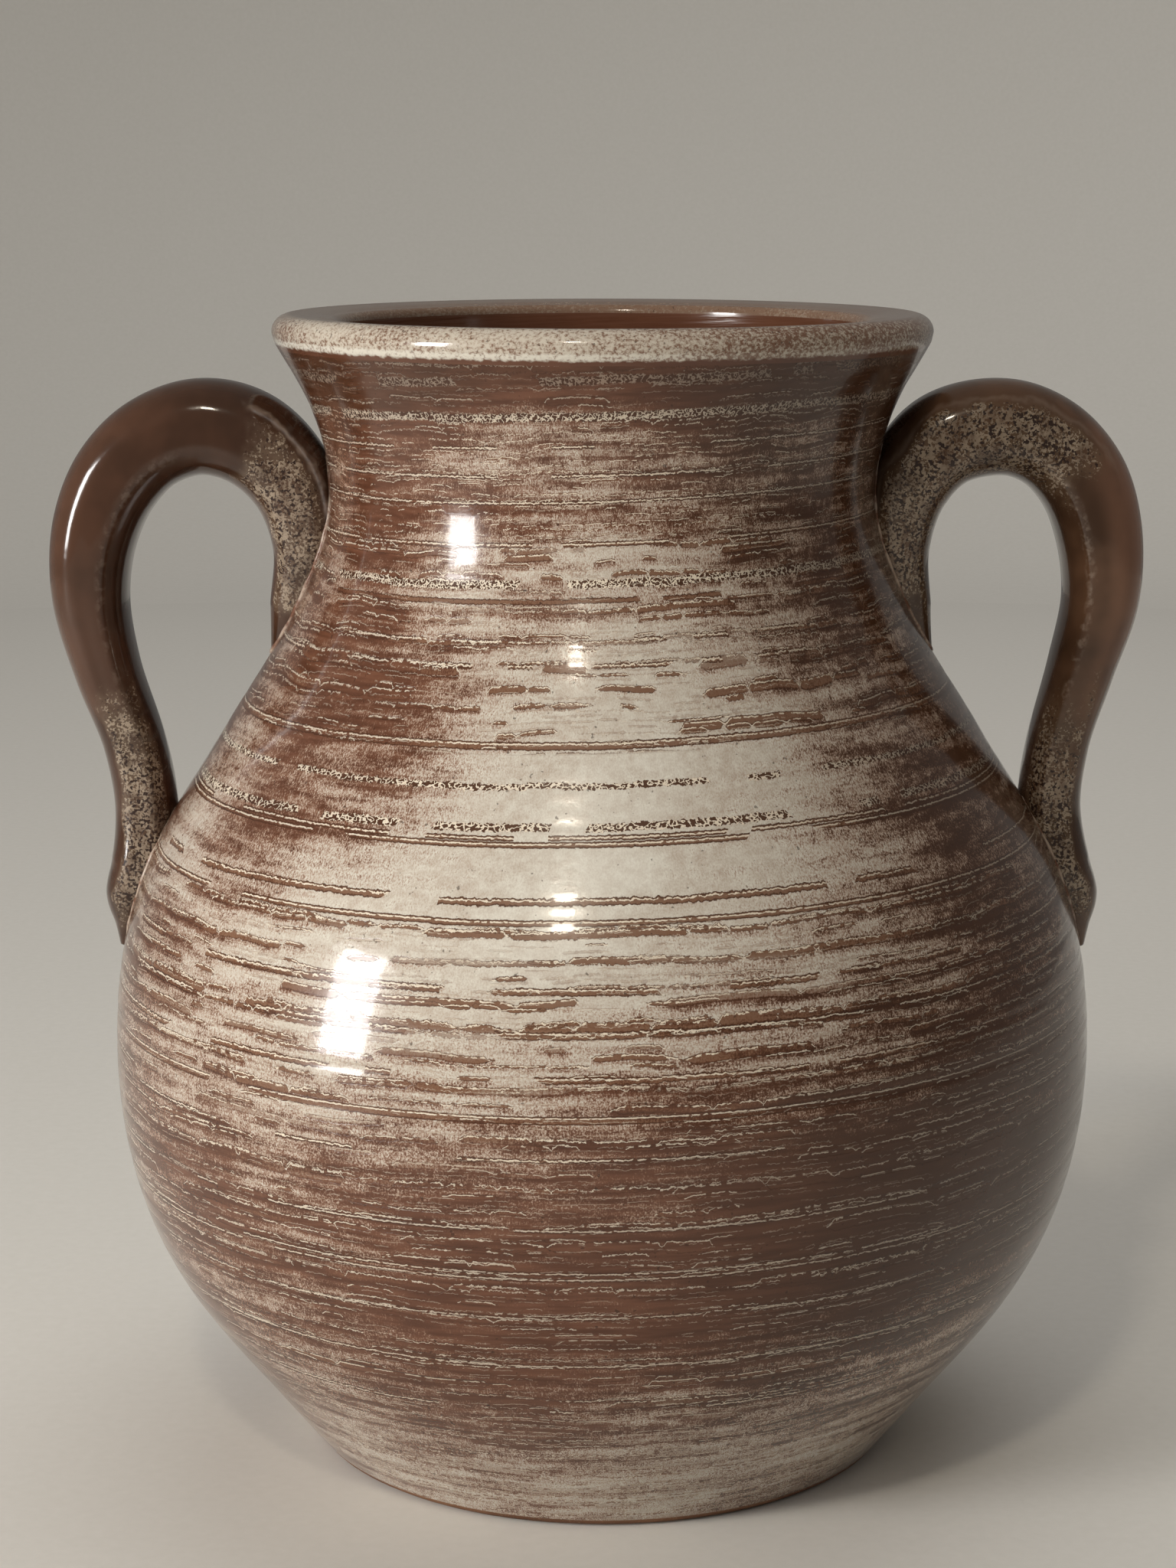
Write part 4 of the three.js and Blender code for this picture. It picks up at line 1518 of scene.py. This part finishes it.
        # Two waves that don't keep step leave the bead as uneven as a fingertip does.
        radius = self.bead_radius * (1 + 0.16 * np.sin(count * 0.9) + 0.12 * np.sin(count * 0.37 + 1))
        ring = np.cos(around)[None, :, None] * normal[:, None, :]
        ring = ring + np.sin(around)[None, :, None] * across[:, None, :]
        points = path[:, None, :] + ring * radius[:, None, None]
        piece = self.wrapped(f"bead_{self.tag}_{place}", self.turned(points) * MM, True)
        piece.data.materials.append(glaze)
        finish_piece(piece, (f"slip_{self.tag}_{place}",))
        return piece

    def build(self, glaze: bpy.types.Material, slip: bpy.types.Material) -> None:
        """Builds the strap and its two beads."""
        self.build_strap(glaze)
        upper, lower = self.contact_paths()
        self.build_bead("upper", upper, slip)
        self.build_bead("lower", lower, slip)


# Studio


@dataclass(frozen=True)
class Lamp:
    """A rectangular lamp that faces the jar, with its lengths in metres.

    Azimuth is in degrees from the viewer's side, left negative. Height is above the table, away is the
    level distance from the jar, size is width and height, and power is in watts. Mirrored says whether the
    glaze mirrors the lamp, and spread is the angle that the light fans out over.
    """

    name: str
    azimuth: float
    height: float
    away: float
    size: tuple[float, float]
    power: float
    colour: tuple[float, float, float]
    mirrored: bool = True
    spread: float = math.pi

    def build(self) -> None:
        """Adds the lamp, hidden from the camera."""
        data = bpy.data.lights.new(self.name, "AREA")
        data.shape = "RECTANGLE"
        data.size, data.size_y = self.size
        data.energy = self.power
        data.spread = self.spread
        data.color = self.colour
        lamp = bpy.data.objects.new(self.name, data)
        turn = math.radians(self.azimuth)
        lamp.location = (self.away * math.sin(turn), -self.away * math.cos(turn), self.height)
        middle = Vector((0, 0, OUTLINE.jar_height * MM / 2))
        lamp.rotation_euler = (middle - lamp.location).to_track_quat("-Z", "Y").to_euler()
        lamp.visible_camera = False
        lamp.visible_glossy = self.mirrored
        bpy.context.scene.collection.objects.link(lamp)


LAMPS = (
    Lamp("window_panel", -58.5, 0.45, 1.5, (0.31, 0.62), 4.6, (1.0, 0.985, 0.965), spread=math.pi / 2),
    Lamp("ceiling", 165.0, 2.2, 0.9, (2.2, 2.2), 20.0, (1.0, 0.985, 0.96), mirrored=False),
    Lamp("room_fill", -38.0, 1.2, 2.2, (1.9, 1.3), 14.0, (1.0, 0.975, 0.94), mirrored=False),
    Lamp("warm_lamp", -11.0, 1.1, 1.0, (0.10, 0.10), 2.6, (1.0, 0.90, 0.74)),
)


@dataclass
class Studio:
    """The floor, the backdrop, the lamps and the camera, in metres and radians."""

    floor_radius: float = 2.2
    wall_height: float = 2.2
    fillet: float = 0.6
    world_light: float = 0.17
    eye: tuple[float, float, float] = (0.0, -0.8086, 0.3280)
    dip: float = 0.19312
    roll: float = 0.00444
    sensor: float = 36.0
    lens: float = 73.83

    def stage_finish(self) -> bpy.types.Material:
        """Makes the plain pale finish of the floor and the backdrop."""
        finish = Finish("plain_stage", Gloss(0.9, 0.0, 0.3, 0.3))
        weave = finish.nodes.noise(finish.place(), 300.0)
        finish.colour(finish.nodes.blend(weave, srgb(212, 209, 202), srgb(220, 217, 211)))
        return finish.material

    def build_stage(self) -> None:
        """Builds the floor and a round backdrop that only the camera sees."""
        bm = bmesh.new()
        flat = self.floor_radius - self.fillet
        bmesh.ops.create_circle(bm, cap_ends=True, segments=128, radius=flat)
        floor = link_mesh("floor", bm)
        curve = [
            ((flat + self.fillet * math.sin(a)) / MM, self.fillet * (1 - math.cos(a)) / MM)
            for a in np.linspace(0, math.pi / 2, 20)
        ]
        backdrop = spun("backdrop", curve + [(self.floor_radius / MM, self.wall_height / MM)], 128, False)
        backdrop.data.flip_normals()
        backdrop.visible_diffuse = False
        backdrop.visible_glossy = False
        backdrop.visible_shadow = False
        stage = self.stage_finish()
        for piece in (floor, backdrop):
            piece.data.materials.append(stage)

    def build_light(self) -> None:
        """Sets the lamps and the even light of the room."""
        for lamp in LAMPS:
            lamp.build()
        world = bpy.data.worlds.new("room")
        world.use_nodes = True
        background = world.node_tree.nodes["Background"]
        background.inputs["Color"].default_value = (1.0, 0.95, 0.88, 1.0)
        background.inputs["Strength"].default_value = self.world_light
        bpy.context.scene.world = world

    def build_camera(self) -> None:
        """Sets the camera where the photograph was taken from."""
        data = bpy.data.cameras.new("camera")
        data.sensor_width = self.sensor
        data.lens = self.lens
        camera = bpy.data.objects.new("camera", data)
        camera.location = self.eye
        camera.rotation_euler = (math.pi / 2 - self.dip, 0.0, self.roll)
        bpy.context.scene.collection.objects.link(camera)
        bpy.context.scene.camera = camera
        bpy.context.scene.view_settings.view_transform = "Standard"

    def build(self) -> None:
        """Builds the whole studio."""
        self.build_camera()
        self.build_light()
        self.build_stage()


def main() -> None:
    """Builds the jar piece by piece, then the studio."""
    logging.basicConfig(level=logging.INFO, format="%(name)s: %(message)s")
    effects = GlazeEffects()
    colours = JarColours()
    outside = wall_glaze(effects, colours)
    inside = inside_glaze(effects, colours)
    Foot().build(bare_clay(colours), outside, inside)
    WallRing("lower_wall", "lower_body", BASE_JOINT, LOWER_JOINT).build(outside, inside)
    WallRing("belly_wall", "belly", LOWER_JOINT, BELLY_JOINT).build(outside, inside)
    WallRing("upper_wall", "upper_body", BELLY_JOINT, NECK_JOINT).build(outside, inside)
    WallRing("neck_wall", "neck", NECK_JOINT, RIM_JOINT).build(outside, inside)
    RolledRim().build(rim_glaze(effects, colours), outside, inside)
    slip = pale_slip_and_highlight(effects, colours)
    left = HandlePatches(
        upper=(0.02, 0.28, 0.8), lower=(0.60, 0.98, 0.95), painted_sheen=0.1, border=0.8, arris=0.12,
        deep=srgb(55, 36, 25), light=srgb(72, 48, 35), dust=srgb(122, 105, 88),
    )
    right = HandlePatches(
        upper=(0.02, 0.46, 0.9), lower=(0.60, 0.95, 0.9), painted_sheen=0.8, border=0.3, arris=0.25,
        deep=srgb(62, 42, 28), light=srgb(90, 64, 46), dust=srgb(114, 94, 74),
    )
    Handle(Side.LEFT).build(handle_glaze("handle_glaze_left", effects, colours, left), slip)
    Handle(Side.RIGHT).build(handle_glaze("handle_glaze_right", effects, colours, right), slip)
    Studio().build()


if __name__ == "__main__":
    main()
